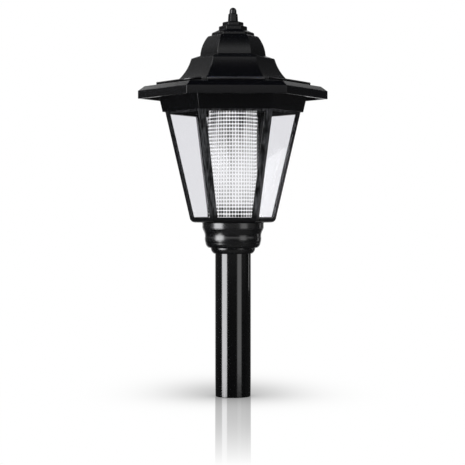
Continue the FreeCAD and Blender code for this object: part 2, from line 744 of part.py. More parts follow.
def make_roof():
    """Brim, concave skirt, dome, three steps and finial, moulded as one shell."""
    body = new_body("roof_shell", "cap_seat")
    ring_of_six_sides(body, "roof_form", [
        ("inner_flat", "-fascia_drop"),
        ("brim_flat", "-fascia_drop"),
        ("brim_flat", "fascia_top"),
        ("brim_edge_flat", "brim_edge_top"),
        ("ogee_foot_flat", "brim_top"),
        ("ogee_foot_flat", "ogee_foot"),
        ("ogee_top_flat", "ogee_top", "ogee_curve", "right"),
        ("shoulder_flat", "shoulder_top", "1.0", "left"),
        ("dome_foot_flat", "dome_foot"),
        ("dome_top_flat", "dome_top", "dome_curve", "left"),
        ("dome_cap_flat", "dome_cap", "1.0", "left"),
        ("step_three_flat", "step_three_foot"),
        ("step_three_flat", "step_three_foot + step_three_rise"),
        ("step_three_flat - step_three_round", "step_three_top", "step_three_round * 1.05", "left"),
        ("step_two_flat", "step_two_foot"),
        ("step_two_flat", "step_two_foot + step_two_rise"),
        ("step_two_flat - step_two_round", "step_two_top", "step_two_round * 1.05", "left"),
        ("step_one_flat", "step_one_foot"),
        ("step_one_flat", "step_one_foot + step_one_rise"),
        ("step_one_flat - step_one_round", "step_one_top", "step_one_round * 1.05", "left"),
        ("finial_flat", "finial_foot"),
        ("finial_flat - finial_taper", "finial_top"),
        ("finial_flat - finial_taper - finial_neck", "finial_top + finial_neck"),
        ("roof_core_radius * 0.6", "finial_top + finial_neck"),
        ("roof_core_radius * 0.6", "dome_top - roof_wall"),
        ("dome_top_flat - roof_wall", "dome_top - roof_wall"),
        ("dome_foot_flat - roof_wall", "dome_foot - roof_wall", "dome_curve - roof_wall", "right"),
        ("ogee_top_flat - roof_wall", "ogee_top - roof_wall / 2"),
        ("ogee_foot_flat - roof_wall", "ogee_foot - roof_wall / 2", "ogee_curve + roof_wall", "left"),
        ("ogee_foot_flat - roof_wall", "brim_top - roof_wall"),
        ("rib_in", "inner_brim_edge + (brim_edge_flat - rib_in) * tan(brim_angle)"),
        ("rib_in", "gasket_top"),
        ("rib_out", "gasket_top"),
        ("rib_out", "rib_top"),
        ("inner_flat", "inner_chamfer_low"),
    ])
    tip_foot = "finial_top + finial_neck"
    tip_edge = "finial_tip_radius - finial_tip_taper"
    spun(body, "finial", [
        ("0", "roof_core_foot"),
        ("roof_core_radius", "roof_core_foot"),
        ("roof_core_radius", "finial_top"),
        ("finial_tip_radius", tip_foot),
        (tip_edge, tip_foot + " + finial_tip_rise"),
        ("0", tip_foot + " + finial_tip_rise + finial_tip_round",
         "((%s) ^ 2 + finial_tip_round ^ 2) / (2 * finial_tip_round)" % tip_edge, "left"),
    ])
    boss = plate(body, "base_boss", [("0", "base_screw_circle", "boss_radius")],
                 "plate_thickness", "base_boss_height")
    pilot = plate(body, "base_pilot", [("0", "base_screw_circle", "pilot_radius")],
                  "plate_thickness", "small_screw_length", "Pocket")
    around(body, "base_bosses", [boss, pilot], 3)
    half = "panel_length / 2 + slide_clearance"
    wide = "panel_width / 2 + slide_clearance"
    recess = brim_sketch(body, "panel_recess", "0", half, wide)
    pocket = extrude(body, "Pocket", recess, "panel_recess", up=False)
    hole = plate(body, "wire_hole", [("0", "-panel_flat", "wire_radius + slide_clearance")],
                 "brim_edge_top - 2 * roof_wall", "3 * roof_wall", "Pocket")
    around(body, "panel_recesses", [pocket, hole], SIDES)


def brim_sketch(body, name, depth, half, wide):
    """Rectangle on the front segment of the brim, at a depth below its surface."""
    drawing = new_sketch(body, name, "XY_Plane")
    drawing.AttachmentOffset = FreeCAD.Placement(
        FreeCAD.Vector(0, 0, 0), FreeCAD.Rotation(FreeCAD.Vector(1, 0, 0), 1.0))
    bind(drawing, {
        "AttachmentOffset.Base.y": "-panel_flat + (%s) * sin(brim_angle)" % depth,
        "AttachmentOffset.Base.z": "panel_height - (%s) * cos(brim_angle)" % depth,
        "AttachmentOffset.Rotation.Angle": "brim_angle",
    })
    outline(drawing, rectangle("-(%s)" % half, half, "-(%s)" % wide, wide))
    return drawing


def make_solar_panels():
    """Six glass-topped panels, one let into each segment of the brim."""
    for number in range(SIDES):
        label = "solar_panel_%d" % (number + 1)
        body = new_body(label, "cap_seat", 360 * number / SIDES)
        drawing = brim_sketch(body, label + "_plan", "panel_recess", "panel_length / 2", "panel_width / 2")
        slab = extrude(body, "Pad", drawing, "panel_thickness")
        doc.recompute()
        top = max(range(len(slab.Shape.Faces)), key=lambda k: slab.Shape.Faces[k].CenterOfMass.z)
        bevel = body.newObject("PartDesign::Chamfer", label + "_bevel")
        bevel.Base = (slab, ["Face%d" % (top + 1)])
        bind(bevel, {"Size": "panel_bevel"})
        body.Tip = bevel


def door_plan(grow_x, grow_y, tab_shrink):
    """Outline of the battery opening with its screw tab, grown by a margin."""
    left = "battery_minus - spring_length - (%s)" % grow_x
    right = "battery_plus + battery_tip + (%s)" % grow_x
    low = "battery_offset - battery_radius - (%s)" % grow_y
    high = "battery_offset + battery_radius + (%s)" % grow_y
    tab_left = "door_screw_place - door_tab_width / 2 + (%s)" % tab_shrink
    tab_right = "door_screw_place + door_tab_width / 2 - (%s)" % tab_shrink
    tab_low = "battery_offset - battery_radius - door_tab_reach + (%s)" % tab_shrink
    return [
        (left, low), (tab_left, low), (tab_left, tab_low), (tab_right, tab_low),
        (tab_right, low), (right, low), (right, high), (left, high),
    ]


def battery_plan(grow):
    """Outline of the space right above the battery door."""
    return rectangle(
        "battery_minus - spring_length - (%s)" % grow, "battery_plus + battery_tip + (%s)" % grow,
        "battery_offset - battery_radius - (%s)" % grow, "battery_offset + battery_radius + (%s)" % grow)


DOOR_TAB_CENTRE = "battery_offset - battery_radius - door_tab_reach + door_tab_width / 2"


def make_underplate():
    """Plate under the brim with the spigot, battery opening, posts and holes."""
    body = new_body("underplate", "cap_seat")
    plate(body, "plate_plan", [hexagon("underplate_flat")], "0", "plate_thickness")
    plate(body, "spigot", [hexagon("spigot_flat"), hexagon("spigot_flat - spigot_wall")],
          "-spigot_depth", "spigot_depth")
    for label, low, far in (("holder_plus", "plus_wall", "plus_wall + holder_wall"),
                            ("holder_minus", "minus_wall - holder_wall", "minus_wall")):
        plate(body, label, [rectangle(low, far, "battery_offset - holder_width / 2",
                                      "battery_offset + holder_width / 2")],
              "plate_thickness", "holder_height")
    plate(body, "door_boss", [("door_screw_place", DOOR_TAB_CENTRE, "boss_radius")],
          "plate_thickness", "board_height - 0.4")
    for label, side in (("board_post_left", "-"), ("board_post_right", "+")):
        plate(body, label, [("board_shift %s board_post_reach" % side, "board_centre", "board_post_radius")],
              "plate_thickness", "board_height")
    plate(body, "battery_opening", [battery_plan("0")], "0", "plate_thickness", "Pocket")
    plate(body, "door_seat", [door_plan("door_step", "door_step", "0")], "0", "door_plate", "Pocket")
    plate(body, "door_pilot", [("door_screw_place", DOOR_TAB_CENTRE, "pilot_radius")],
          "0", "plate_thickness + board_height - 1", "Pocket")
    plate(body, "board_pilots", [
        ("board_shift - board_post_reach", "board_centre", "pilot_radius"),
        ("board_shift + board_post_reach", "board_centre", "pilot_radius"),
    ], "boss_floor", "plate_thickness + board_height", "Pocket")
    plate(body, "led_hole", [("0", "0", "led_radius + slide_clearance")], "0", "plate_thickness", "Pocket")
    slot_x = "(knob_length + switch_travel) / 2 + slide_clearance"
    slot_y = "knob_width / 2 + slide_clearance"
    plate(body, "switch_slot", [rectangle(
        "-(%s)" % slot_x, slot_x, "switch_place - (%s)" % slot_y, "switch_place + (%s)" % slot_y)],
        "0", "plate_thickness", "Pocket")
    hole = countersink(body, "base_hole", "0", "plate_thickness", "base_screw_circle", "YZ_Plane", up=False)
    around(body, "base_holes", [hole], 3)
    screws("base_screws", "cap_seat", "0", "base_screw_circle", "YZ_Plane", 3, up=False)


def make_gasket():
    """Soft ring between the underplate and the rib inside the brim."""
    body = new_body("gasket", "cap_seat")
    middle = "(rib_in + rib_out) / 2"
    plate(body, "gasket_plan", [
        hexagon(middle + " + gasket_width / 2"),
        hexagon(middle + " - gasket_width / 2"),
    ], "plate_thickness", "gasket_thickness")


def make_battery():
    """Cell lying along X, with its raised end towards +X."""
    body = new_body("battery", "cap_seat")
    drawing = new_sketch(body, "battery_section", "XY_Plane")
    bind(drawing, {"AttachmentOffset.Base.z": "battery_axis"})
    outline(drawing, [
        ("battery_minus", "battery_offset"),
        ("battery_minus", "battery_offset - battery_radius + 0.4"),
        ("battery_minus + 0.4", "battery_offset - battery_radius"),
        ("battery_plus - 0.6", "battery_offset - battery_radius"),
        ("battery_plus", "battery_offset - battery_radius + 0.6"),
        ("battery_plus", "battery_offset - battery_tip_radius"),
        ("battery_plus + battery_tip", "battery_offset - battery_tip_radius"),
        ("battery_plus + battery_tip", "battery_offset"),
    ])
    turned = body.newObject("PartDesign::Revolution", "battery_turn")
    turned.Profile = drawing
    turned.ReferenceAxis = (drawing, ["Edge1"])
    turned.Angle = 360


def make_contacts():
    """Flat contact at the raised end and coil contact at the flat end."""
    body = new_body("contact_plate", "cap_seat")
    plate(body, "contact_plan", [rectangle(
        "plus_wall - contact_thickness", "plus_wall", "battery_offset - contact_width / 2",
        "battery_offset + contact_width / 2")], "plate_thickness", "contact_height")
    leaf = doc.addObject("Part::Box", "spring_leaf")
    bind(leaf, {
        "Length": "contact_thickness",
        "Width": "contact_width",
        "Height": "contact_height",
        "Placement.Base.x": "minus_wall",
        "Placement.Base.y": "battery_offset - contact_width / 2",
        "Placement.Base.z": "plate_thickness",
    })
    coil = doc.addObject("Part::Helix", "spring_path")
    bind(coil, {
        "Pitch": "(spring_length - 2 * spring_wire) / spring_turns",
        "Height": "spring_length - 2 * spring_wire",
        "Radius": "spring_radius",
    })
    wire = doc.addObject("Part::Circle", "spring_wire_section")
    wire.Placement.Rotation = FreeCAD.Rotation(FreeCAD.Vector(1, 0, 0), 90)
    bind(wire, {"Radius": "spring_wire", "Placement.Base.x": "spring_radius"})
    sweep = doc.addObject("Part::Sweep", "spring_coil")
    sweep.Sections = [wire]
    sweep.Spine = (coil, [])
    sweep.Solid = True
    sweep.Frenet = True
    sweep.Placement.Rotation = FreeCAD.Rotation(FreeCAD.Vector(0, 1, 0), 90)
    bind(sweep, {
        "Placement.Base.x": "minus_wall + contact_thickness + spring_wire * 0.9",
        "Placement.Base.y": "battery_offset",
        "Placement.Base.z": "battery_axis",
    })
    spring = doc.addObject("Part::Fuse", "contact_spring")
    spring.Label = "contact_spring"
    spring.Base = leaf
    spring.Tool = sweep
    bind(spring, {"Placement.Base.z": "cap_seat"})


def make_door():
    """Battery door: lower plate with a screw tab and a raised pad."""
    body = new_body("battery_door", "cap_seat")
    margin = "door_step - slide_clearance"
    plate(body, "door_plate_plan", [door_plan(margin, margin, "slide_clearance")], "0", "door_plate")
    plate(body, "door_pad", [battery_plan("-2 * slide_clearance")], "door_plate",
          "plate_thickness - door_plate")
    hole = new_sketch(body, "door_hole", "XY_Plane")
    circle(hole, "door_screw_place", DOOR_TAB_CENTRE, "small_screw_radius + hole_clearance")
    extrude(body, "Pocket", hole, "door_plate")
    screw = new_body("door_screw", "cap_seat")
    plate(screw, "door_screw_shank", [("door_screw_place", DOOR_TAB_CENTRE, "small_screw_radius")],
          "0", "plate_thickness + board_height - 2")
    plate(screw, "door_screw_head", [("door_screw_place", DOOR_TAB_CENTRE, "small_head_radius")],
          "-small_head_height", "small_head_height")
    plate(screw, "door_screw_cross", [cross("door_screw_place", DOOR_TAB_CENTRE)],
          "-small_head_height", "screw_recess_depth", "Pocket")


def make_board():
    """Circuit board on its two posts, with its parts, screws and the light."""
    body = new_body("circuit_board", "cap_seat")
    left = "board_shift - board_length / 2"
    right = "board_shift + board_length / 2"
    plate(body, "board_plan", [rectangle(
        left, right, "board_centre - board_width / 2", "board_centre + board_width / 2")],
        "board_low", "board_thickness")
    plate(body, "board_holes", [
        ("board_shift - board_post_reach", "board_centre", "small_screw_radius + hole_clearance"),
        ("board_shift + board_post_reach", "board_centre", "small_screw_radius + hole_clearance"),
    ], "board_low", "board_thickness", "Pocket")
    plate(body, "board_chip", [rectangle(
        "board_shift - chip_length / 2", "board_shift + chip_length / 2",
        "board_centre - chip_place - chip_width / 2", "board_centre - chip_place + chip_width / 2")],
        "board_high", "chip_height")
    plate(body, "board_coil", [("board_shift + coil_shift", "board_centre - coil_place", "coil_radius")],
          "board_high", "coil_height")
    plate(body, "board_lead_holes", [
        ("-led_lead_pitch / 2", "0", "led_lead_radius + hole_clearance"),
        ("led_lead_pitch / 2", "0", "led_lead_radius + hole_clearance"),
    ], "board_low", "board_thickness", "Pocket")
    pins = new_body("board_screws", "cap_seat")
    for label, side in (("left", "-"), ("right", "+")):
        centre = "board_shift %s board_post_reach" % side
        plate(pins, "board_screw_shank_" + label, [(centre, "board_centre", "small_screw_radius")],
              "board_high - board_thickness - 3.4", "board_thickness + 3.4")
        plate(pins, "board_screw_head_" + label, [(centre, "board_centre", "small_head_radius")],
              "board_high", "small_head_height")
        plate(pins, "board_screw_cross_" + label, [cross(centre, "board_centre")],
              "board_high + small_head_height - screw_recess_depth", "screw_recess_depth", "Pocket")
    light = new_body("led", "cap_seat")
    seat = "plate_thickness"
    spun(light, "led_section", [
        ("0", seat + " - led_length"),
        ("led_radius", seat + " - led_length + led_radius", "led_radius", "left"),
        ("led_radius", seat),
        ("led_radius + led_flange", seat),
        ("led_radius + led_flange", seat + " + led_flange_height"),
        ("0", seat + " + led_flange_height"),
    ])
    plate(light, "led_leads", [
        ("-led_lead_pitch / 2", "0", "led_lead_radius"),
        ("led_lead_pitch / 2", "0", "led_lead_radius"),
    ], seat + " + led_flange_height", "board_high - plate_thickness - led_flange_height + 0.6")


def make_switch():
    """Slide switch under the board; its knob reaches through the underplate."""
    body = new_body("switch_body", "cap_seat")
    x_half = "switch_length / 2"
    y_half = "switch_width / 2"
    plate(body, "switch_case", [rectangle(
        "-" + x_half, x_half, "switch_place - " + y_half, "switch_place + " + y_half)],
        "plate_thickness", "board_height")
    run = "(slider_length + switch_travel) / 2 + slide_clearance"
    side = "slider_width / 2 + slide_clearance"
    plate(body, "switch_run", [rectangle(
        "-(%s)" % run, run, "switch_place - (%s)" % side, "switch_place + (%s)" % side)],
        "plate_thickness", "slider_height + 3 * slide_clearance", "Pocket")
    slider = new_body("switch_slider", "cap_seat")
    rest = "-switch_travel / 2"
    plate(slider, "slider_block", [rectangle(
        rest + " - slider_length / 2", rest + " + slider_length / 2",
        "switch_place - slider_width / 2", "switch_place + slider_width / 2")],
        "plate_thickness + slide_clearance", "slider_height")
    plate(slider, "slider_knob", [rectangle(
        rest + " - knob_length / 2", rest + " + knob_length / 2",
        "switch_place - knob_width / 2", "switch_place + knob_width / 2")],
        "-knob_reach", "plate_thickness + slide_clearance + knob_reach")


def wire_shape(points, radius, bend):
    """Round wire through points, straight runs joined by tangent arcs."""
    edges = []
    start = points[0]
    for before, corner, after in zip(points, points[1:], points[2:]):
        incoming = (corner - before).normalize()
        outgoing = (after - corner).normalize()
        turn = incoming.getAngle(outgoing)
        trim = bend * math.tan(turn / 2)
        first = corner - incoming * trim
        last = corner + outgoing * trim
        inward = (outgoing - incoming).normalize()
        middle = corner + inward * (bend / math.cos(turn / 2) - bend)
        edges.append(Part.LineSegment(start, first).toShape())
        edges.append(Part.Arc(first, middle, last).toShape())
        start = last
    edges.append(Part.LineSegment(start, points[-1]).toShape())
    path = Part.Wire(edges)
    heading = points[1] - points[0]
    ring = Part.Wire([Part.Edge(Part.Circle(points[0], heading, radius))])
    return path.makePipeShell([ring], True, True)


def make_wiring():
    """Wire ring that joins the six panels, and the leads to the board."""
    radius = value("wire_radius")
    lay = value("plate_thickness + bus_radius")
    flat = value("panel_flat")
    under = value("panel_under - slide_clearance")
    parts = [Part.makeTorus(flat, value("bus_radius"), FreeCAD.Vector(0, 0, lay))]
    for number in range(SIDES):
        angle = 2 * math.pi * number / SIDES - math.pi / 2
        foot = FreeCAD.Vector(flat * math.cos(angle), flat * math.sin(angle), lay)
        parts.append(Part.makeCylinder(radius, under - lay, foot))
    edge = value("board_centre - board_width / 2 + 2 * wire_radius")
    parts.append(wire_shape([
        FreeCAD.Vector(0, -flat, lay),
        FreeCAD.Vector(0, edge, lay),
        FreeCAD.Vector(0, edge, value("board_low")),
    ], radius, 2 * radius))
    ring = doc.addObject("Part::Feature", "panel_wiring")
    ring.Label = "panel_wiring"
    ring.Shape = parts[0].fuse(parts[1:]).removeSplitter()
    bind(ring, {"Placement.Base.z": "cap_seat"})

    leads = []
    top = value("plate_thickness + contact_height - wire_radius")
    board = value("board_high + wire_radius")
    side = value("battery_offset - holder_width / 2 - fit_clearance")
    for contact, reach in (("plus_wall - contact_thickness / 2", "board_shift + board_length / 2 - 1"),
                           ("minus_wall + contact_thickness / 2", "board_shift - board_length / 2 + 1")):
        x_contact = value(contact)
        x_board = value(reach)
        y_board = value("board_centre + board_width / 2 - 3")
        leads.append(wire_shape([
            FreeCAD.Vector(x_contact, side, top),
            FreeCAD.Vector(x_contact, y_board, board),
            FreeCAD.Vector(x_board, y_board, board),
        ], radius, 2.5))
    pair = doc.addObject("Part::Feature", "battery_leads")
    pair.Label = "battery_leads"
    pair.Shape = Part.Compound(leads)
    bind(pair, {"Placement.Base.z": "cap_seat"})


NODES = [
    "pole", "neck_socket", "neck_screws", "cage_frame",
    "pane_1", "pane_2", "pane_3", "pane_4", "pane_5", "pane_6",
    "diffuser", "top_collar", "collar_screws", "roof_shell",
    "solar_panel_1", "solar_panel_2", "solar_panel_3",
    "solar_panel_4", "solar_panel_5", "solar_panel_6",
    "underplate", "base_screws", "gasket", "battery", "contact_plate",
    "contact_spring", "battery_door", "door_screw", "circuit_board",
    "board_screws", "led", "switch_body", "switch_slider",
    "panel_wiring", "battery_leads",
]


def write_parts():
    """Check the document and write each sub-part to its own file."""
    doc.recompute()
    for item in doc.Objects:
        if "Invalid" in item.State or "Error" in item.State:
            raise RuntimeError("%s did not recompute: %s" % (item.Label, item.State))
    os.makedirs("parts", exist_ok=True)
    for label in NODES:
        shape = doc.getObjectsByLabel(label)[0].Shape
        if shape.isNull() or not shape.isValid() or not shape.Solids:
            raise RuntimeError("%s has no sound shape" % label)
        print("%-16s solids %2d volume %10.1f z %7.2f to %7.2f" % (
            label, len(shape.Solids), shape.Volume, shape.BoundBox.ZMin, shape.BoundBox.ZMax))
    for label in NODES:
        doc.getObjectsByLabel(label)[0].Shape.exportStep("parts/%s.step" % label)


sheet = write_sheet()
make_pole()
make_neck()
make_cage()
make_panes()
make_diffuser()
make_collar()
make_roof()
make_solar_panels()
make_underplate()
make_gasket()
make_battery()
make_contacts()
make_door()
make_board()
make_switch()
make_wiring()
write_parts()
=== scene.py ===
"""Looks of a six-sided garden lantern on a pole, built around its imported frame.

Lengths in the classes are in millimetres and become metres in the meshes.
"flat" is the distance from the upright axis to a flat side of a hexagon.
"""

import logging
import math
from dataclasses import dataclass, field, replace
from enum import Enum
from typing import Callable, Optional, Union

import bmesh
import bpy
from mathutils import Matrix, Vector


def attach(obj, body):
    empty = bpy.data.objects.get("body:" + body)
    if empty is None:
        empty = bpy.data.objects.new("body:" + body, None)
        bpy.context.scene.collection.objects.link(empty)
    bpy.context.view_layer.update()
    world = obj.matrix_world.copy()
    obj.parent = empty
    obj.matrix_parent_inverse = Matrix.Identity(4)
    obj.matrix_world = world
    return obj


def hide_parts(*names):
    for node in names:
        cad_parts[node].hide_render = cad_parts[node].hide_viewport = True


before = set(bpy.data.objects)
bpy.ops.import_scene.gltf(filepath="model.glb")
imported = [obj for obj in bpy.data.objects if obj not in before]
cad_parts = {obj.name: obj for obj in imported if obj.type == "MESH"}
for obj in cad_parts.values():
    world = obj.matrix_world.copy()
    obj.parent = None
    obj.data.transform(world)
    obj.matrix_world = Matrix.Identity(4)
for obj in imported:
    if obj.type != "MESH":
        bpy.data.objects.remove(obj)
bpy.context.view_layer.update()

LOG = logging.getLogger("lantern")
MM = 0.001
SIDES = 6
SIXTH = math.tau / SIDES
WHITE = (1.0, 1.0, 1.0, 1.0)
Object = bpy.types.Object
Material = bpy.types.Material
Value = Union["Term", float, int, bool, tuple, str, bpy.types.ID, None]
Point = tuple[float, float]
Stops = tuple[Point, ...]


class Body(Enum):
    """Bodies of the frame that pieces ride on."""

    ROOT = "root"
    CAP = "cap"
    SWITCH = "switch"


class Slot(Enum):
    """Material slots of the record, passed along with the rebuilt pieces but not used."""

    BLACK_PLASTIC = "black_plastic"
    POLE_LACQUER = "pole_lacquer"
    PRISM_PLASTIC = "prism_plastic"
    SOLAR_GLASS = "solar_glass"
    PLATED_STEEL = "plated_steel"
    LAMP_RESIN = "lamp_resin"
    SWITCH_CASE = "switch_case"


class Turn(Enum):
    """Way an arc turns on its way from start to end."""

    LEFT = 1
    RIGHT = -1


# ---------------------------------------------------------------- node trees


def sign(operation: str, swapped: bool = False) -> Callable[..., "Term"]:
    """Make an arithmetic sign for terms.

    Args:
        operation: Blender's name of the math operation.
        swapped: Whether the other value comes first.

    Returns:
        The sign's method.
    """

    def apply(self: "Term", *others: Value) -> "Term":
        """Add the sign's math node.

        Args:
            others: The other value, if the sign takes two.

        Returns:
            The node's result.
        """
        terms = (self, *others)
        return self.nodes.math(operation, *(terms[::-1] if swapped else terms))

    return apply


def maker(kind: str, *names: Union[str, int], out: Union[str, int] = 0, **settings: Value) -> Callable[..., "Term"]:
    """Make a method that adds one kind of node.

    Args:
        kind: Blender's name of the node type.
        names: Inputs that the method's values feed, in order.
        out: Output that the method returns.
        settings: Properties of the node itself.

    Returns:
        The method.
    """

    def make(self: "Nodes", *values: Value) -> "Term":
        """Add the node.

        Args:
            values: Values or terms for its inputs; the last ones can be left out.

        Returns:
            Its output.
        """
        return self.add(kind, dict(zip(names, values)), out, **settings)

    return make


class Term:
    """Output of a node; arithmetic with it adds math nodes."""

    __add__, __radd__ = sign("ADD"), sign("ADD", True)
    __sub__, __rsub__ = sign("SUBTRACT"), sign("SUBTRACT", True)
    __mul__, __rmul__ = sign("MULTIPLY"), sign("MULTIPLY", True)
    __truediv__, __rtruediv__ = sign("DIVIDE"), sign("DIVIDE", True)
    __lt__, __gt__ = sign("LESS_THAN"), sign("GREATER_THAN")
    __pow__, __abs__ = sign("POWER"), sign("ABSOLUTE")

    def __init__(self, nodes: "Nodes", socket: bpy.types.NodeSocket) -> None:
        """Keep a socket with its tree.

        Args:
            nodes: Tree of the socket.
            socket: Output socket of a node.
        """
        self.nodes, self.socket = nodes, socket

    def beside(self, name: Union[str, int]) -> "Term":
        """Take another output of the same node.

        Args:
            name: Name or number of the output.

        Returns:
            The other output.
        """
        return Term(self.nodes, self.socket.node.outputs[name])


class Nodes:
    """Adds nodes to a tree and wires them."""

    vector = maker("ShaderNodeCombineXYZ", "X", "Y", "Z")
    mix = maker("ShaderNodeMix", 0, 2, 3, data_type="FLOAT")
    vector_sum = maker("ShaderNodeVectorMath", 0, 1, operation="ADD")
    scaled = maker("ShaderNodeVectorMath", 0, "Scale", operation="SCALE")
    step = maker("ShaderNodeMapRange", "Value", "From Min", "From Max", interpolation_type="SMOOTHSTEP")

    def __init__(self, tree: bpy.types.NodeTree) -> None:
        """Start with an empty tree.

        Args:
            tree: Tree that gets the nodes.
        """
        self.tree = tree
        tree.nodes.clear()

    def feed(self, socket: bpy.types.NodeSocket, value: Value) -> None:
        """Link a socket to a term, or set its own value.

        Args:
            socket: Input that is fed.
            value: Term or plain value; None leaves the socket as it is.
        """
        if isinstance(value, Term):
            self.tree.links.new(value.socket, socket)
        elif value is not None:
            socket.default_value = value

    def node(self, kind: str, inputs: Optional[dict] = None, **settings: Value) -> bpy.types.Node:
        """Add one node.

        Args:
            kind: Blender's name of the node type.
            inputs: Values or terms for its inputs, by name or number.
            settings: Properties of the node itself.

        Returns:
            The new node.
        """
        node = self.tree.nodes.new(kind)
        for name, value in settings.items():
            setattr(node, name, value)
        for name, value in (inputs or {}).items():
            self.feed(node.inputs[name], value)
        return node

    def add(self, kind: str, inputs: Optional[dict] = None, out: Union[str, int] = 0, **settings: Value) -> Term:
        """Add one node and take an output of it.

        Args:
            kind: Blender's name of the node type.
            inputs: Values or terms for its inputs, by name or number.
            out: Name or number of the output.
            settings: Properties of the node itself.

        Returns:
            The output.
        """
        return Term(self, self.node(kind, inputs, **settings).outputs[out])

    def math(self, operation: str, *terms: Value) -> Term:
        """Add a math node.

        Args:
            operation: Blender's name of the operation.
            terms: Values or terms, in order.

        Returns:
            Its result.
        """
        return self.add("ShaderNodeMath", dict(enumerate(terms)), operation=operation)

    def split(self, vector: Value) -> list[Term]:
        """Part a vector into its three numbers.

        Args:
            vector: Vector or term.

        Returns:
            Its X, Y and Z.
        """
        x = self.add("ShaderNodeSeparateXYZ", {0: vector})
        return [x, x.beside(1), x.beside(2)]

    def ranged(self, value: Value, low: float, high: float, start: float = 0.3, end: float = 0.7) -> Term:
        """Spread a value over a range.

        Args:
            value: Value or term.
            low: Result at start.
            high: Result at end.
            start: Value that gives low.
            end: Value that gives high.

        Returns:
            The clamped result.
        """
        inputs = {"Value": value, "From Min": start, "From Max": end, "To Min": low, "To Max": high}
        return self.add("ShaderNodeMapRange", inputs)

    def ramp(self, value: Value, stops: Stops, low: float, high: float) -> Term:
        """Grey that follows a value along a line of stops.

        Args:
            value: Value or term.
            stops: Pairs of value and grey.
            low: Value at the ramp's start.
            high: Value at the ramp's end.

        Returns:
            The grey.
        """
        ramp = self.node("ShaderNodeValToRGB", {"Fac": self.ranged(value, 0.0, 1.0, low, high)})
        points = ramp.color_ramp.elements
        while len(points) < len(stops):
            points.new(0.5)
        for point, (place, grey) in zip(points, stops):
            point.position = (place - low) / (high - low)
            point.color = (grey, grey, grey, 1)
        return Term(self, ramp.outputs[0])

    def ray(self, kind: str) -> Term:
        """Ask for the kind of ray.

        Args:
            kind: Camera, Shadow, Glossy, Singular or Transmission.

        Returns:
            1 for such a ray.
        """
        return self.add("ShaderNodeLightPath", out="Is %s Ray" % kind)


class GeometryTree(Nodes):
    """A geometry node tree with named inputs, used as a modifier."""

    index = maker("GeometryNodeInputIndex")
    position = maker("GeometryNodeInputPosition")
    named = maker("GeometryNodeInputNamedAttribute", "Name", data_type="FLOAT_VECTOR")
    store = maker("GeometryNodeStoreNamedAttribute", "Geometry", "Name", "Value",
                  data_type="FLOAT_VECTOR", domain="POINT")
    forget = maker("GeometryNodeRemoveAttribute", "Geometry", "Name")
    curve = maker("GeometryNodeMeshToCurve", "Mesh")
    circle = maker("GeometryNodeCurvePrimitiveCircle", "Resolution", "Radius", mode="RADIUS")
    fillet = maker("GeometryNodeFilletCurve", "Curve", "Count", "Radius", "Limit Radius", mode="POLY")
    sweep = maker("GeometryNodeCurveToMesh", "Curve", "Profile Curve")
    placed = maker("GeometryNodeSetPosition", "Geometry", "Position")
    smooth = maker("GeometryNodeSetShadeSmooth", "Geometry")
    real = maker("GeometryNodeRealizeInstances", "Geometry")
    coated = maker("GeometryNodeSetMaterial", "Geometry", "Material")

    def __init__(self, name: str, **sockets: Value) -> None:
        """Start the tree; its last input is the material.

        Args:
            name: Name of the tree.
            sockets: Value of each named input, with "_" for a space.
        """
        super().__init__(bpy.data.node_groups.new(name, "GeometryNodeTree"))
        kinds = {float: "Float", int: "Int", bool: "Bool"}
        plan = [("Geometry", "Geometry", "INPUT")]
        plan += [(key.replace("_", " ").title(), kinds[type(value)], "INPUT") for key, value in sockets.items()]
        plan += [("Material", "Material", "INPUT"), ("Geometry", "Geometry", "OUTPUT")]
        made = [self.tree.interface.new_socket(label, in_out=way, socket_type="NodeSocket" + kind)
                for label, kind, way in plan]
        for socket, value in zip(made[1:], sockets.values()):
            socket.default_value = value
        self.given = {socket.name: Term(self, socket) for socket in self.node("NodeGroupInput").outputs}
        self.result = self.node("NodeGroupOutput").inputs[0]

    def close(self, geometry: Value, *names: str) -> None:
        """End the tree with real meshes that carry their material.

        Args:
            geometry: Last geometry of the tree.
            names: Attributes that the mesh doesn't keep.
        """
        for name in names:
            geometry = self.forget(geometry, name)
        self.feed(self.result, self.coated(self.real(geometry), self.given["Material"]))

    def attach(self, thing: Object, **values: Value) -> None:
        """Put the tree on an object and set its named inputs.

        Args:
            thing: Object that gets the modifier.
            values: Inputs by name, with "_" for a space.
        """
        modifier = thing.modifiers.new(self.tree.name, "NODES")
        modifier.node_group = self.tree
        for item in self.tree.interface.items_tree:
            key = item.name.replace(" ", "_").lower()
            if item.in_out == "INPUT" and key in values:
                modifier[item.identifier] = values[key]


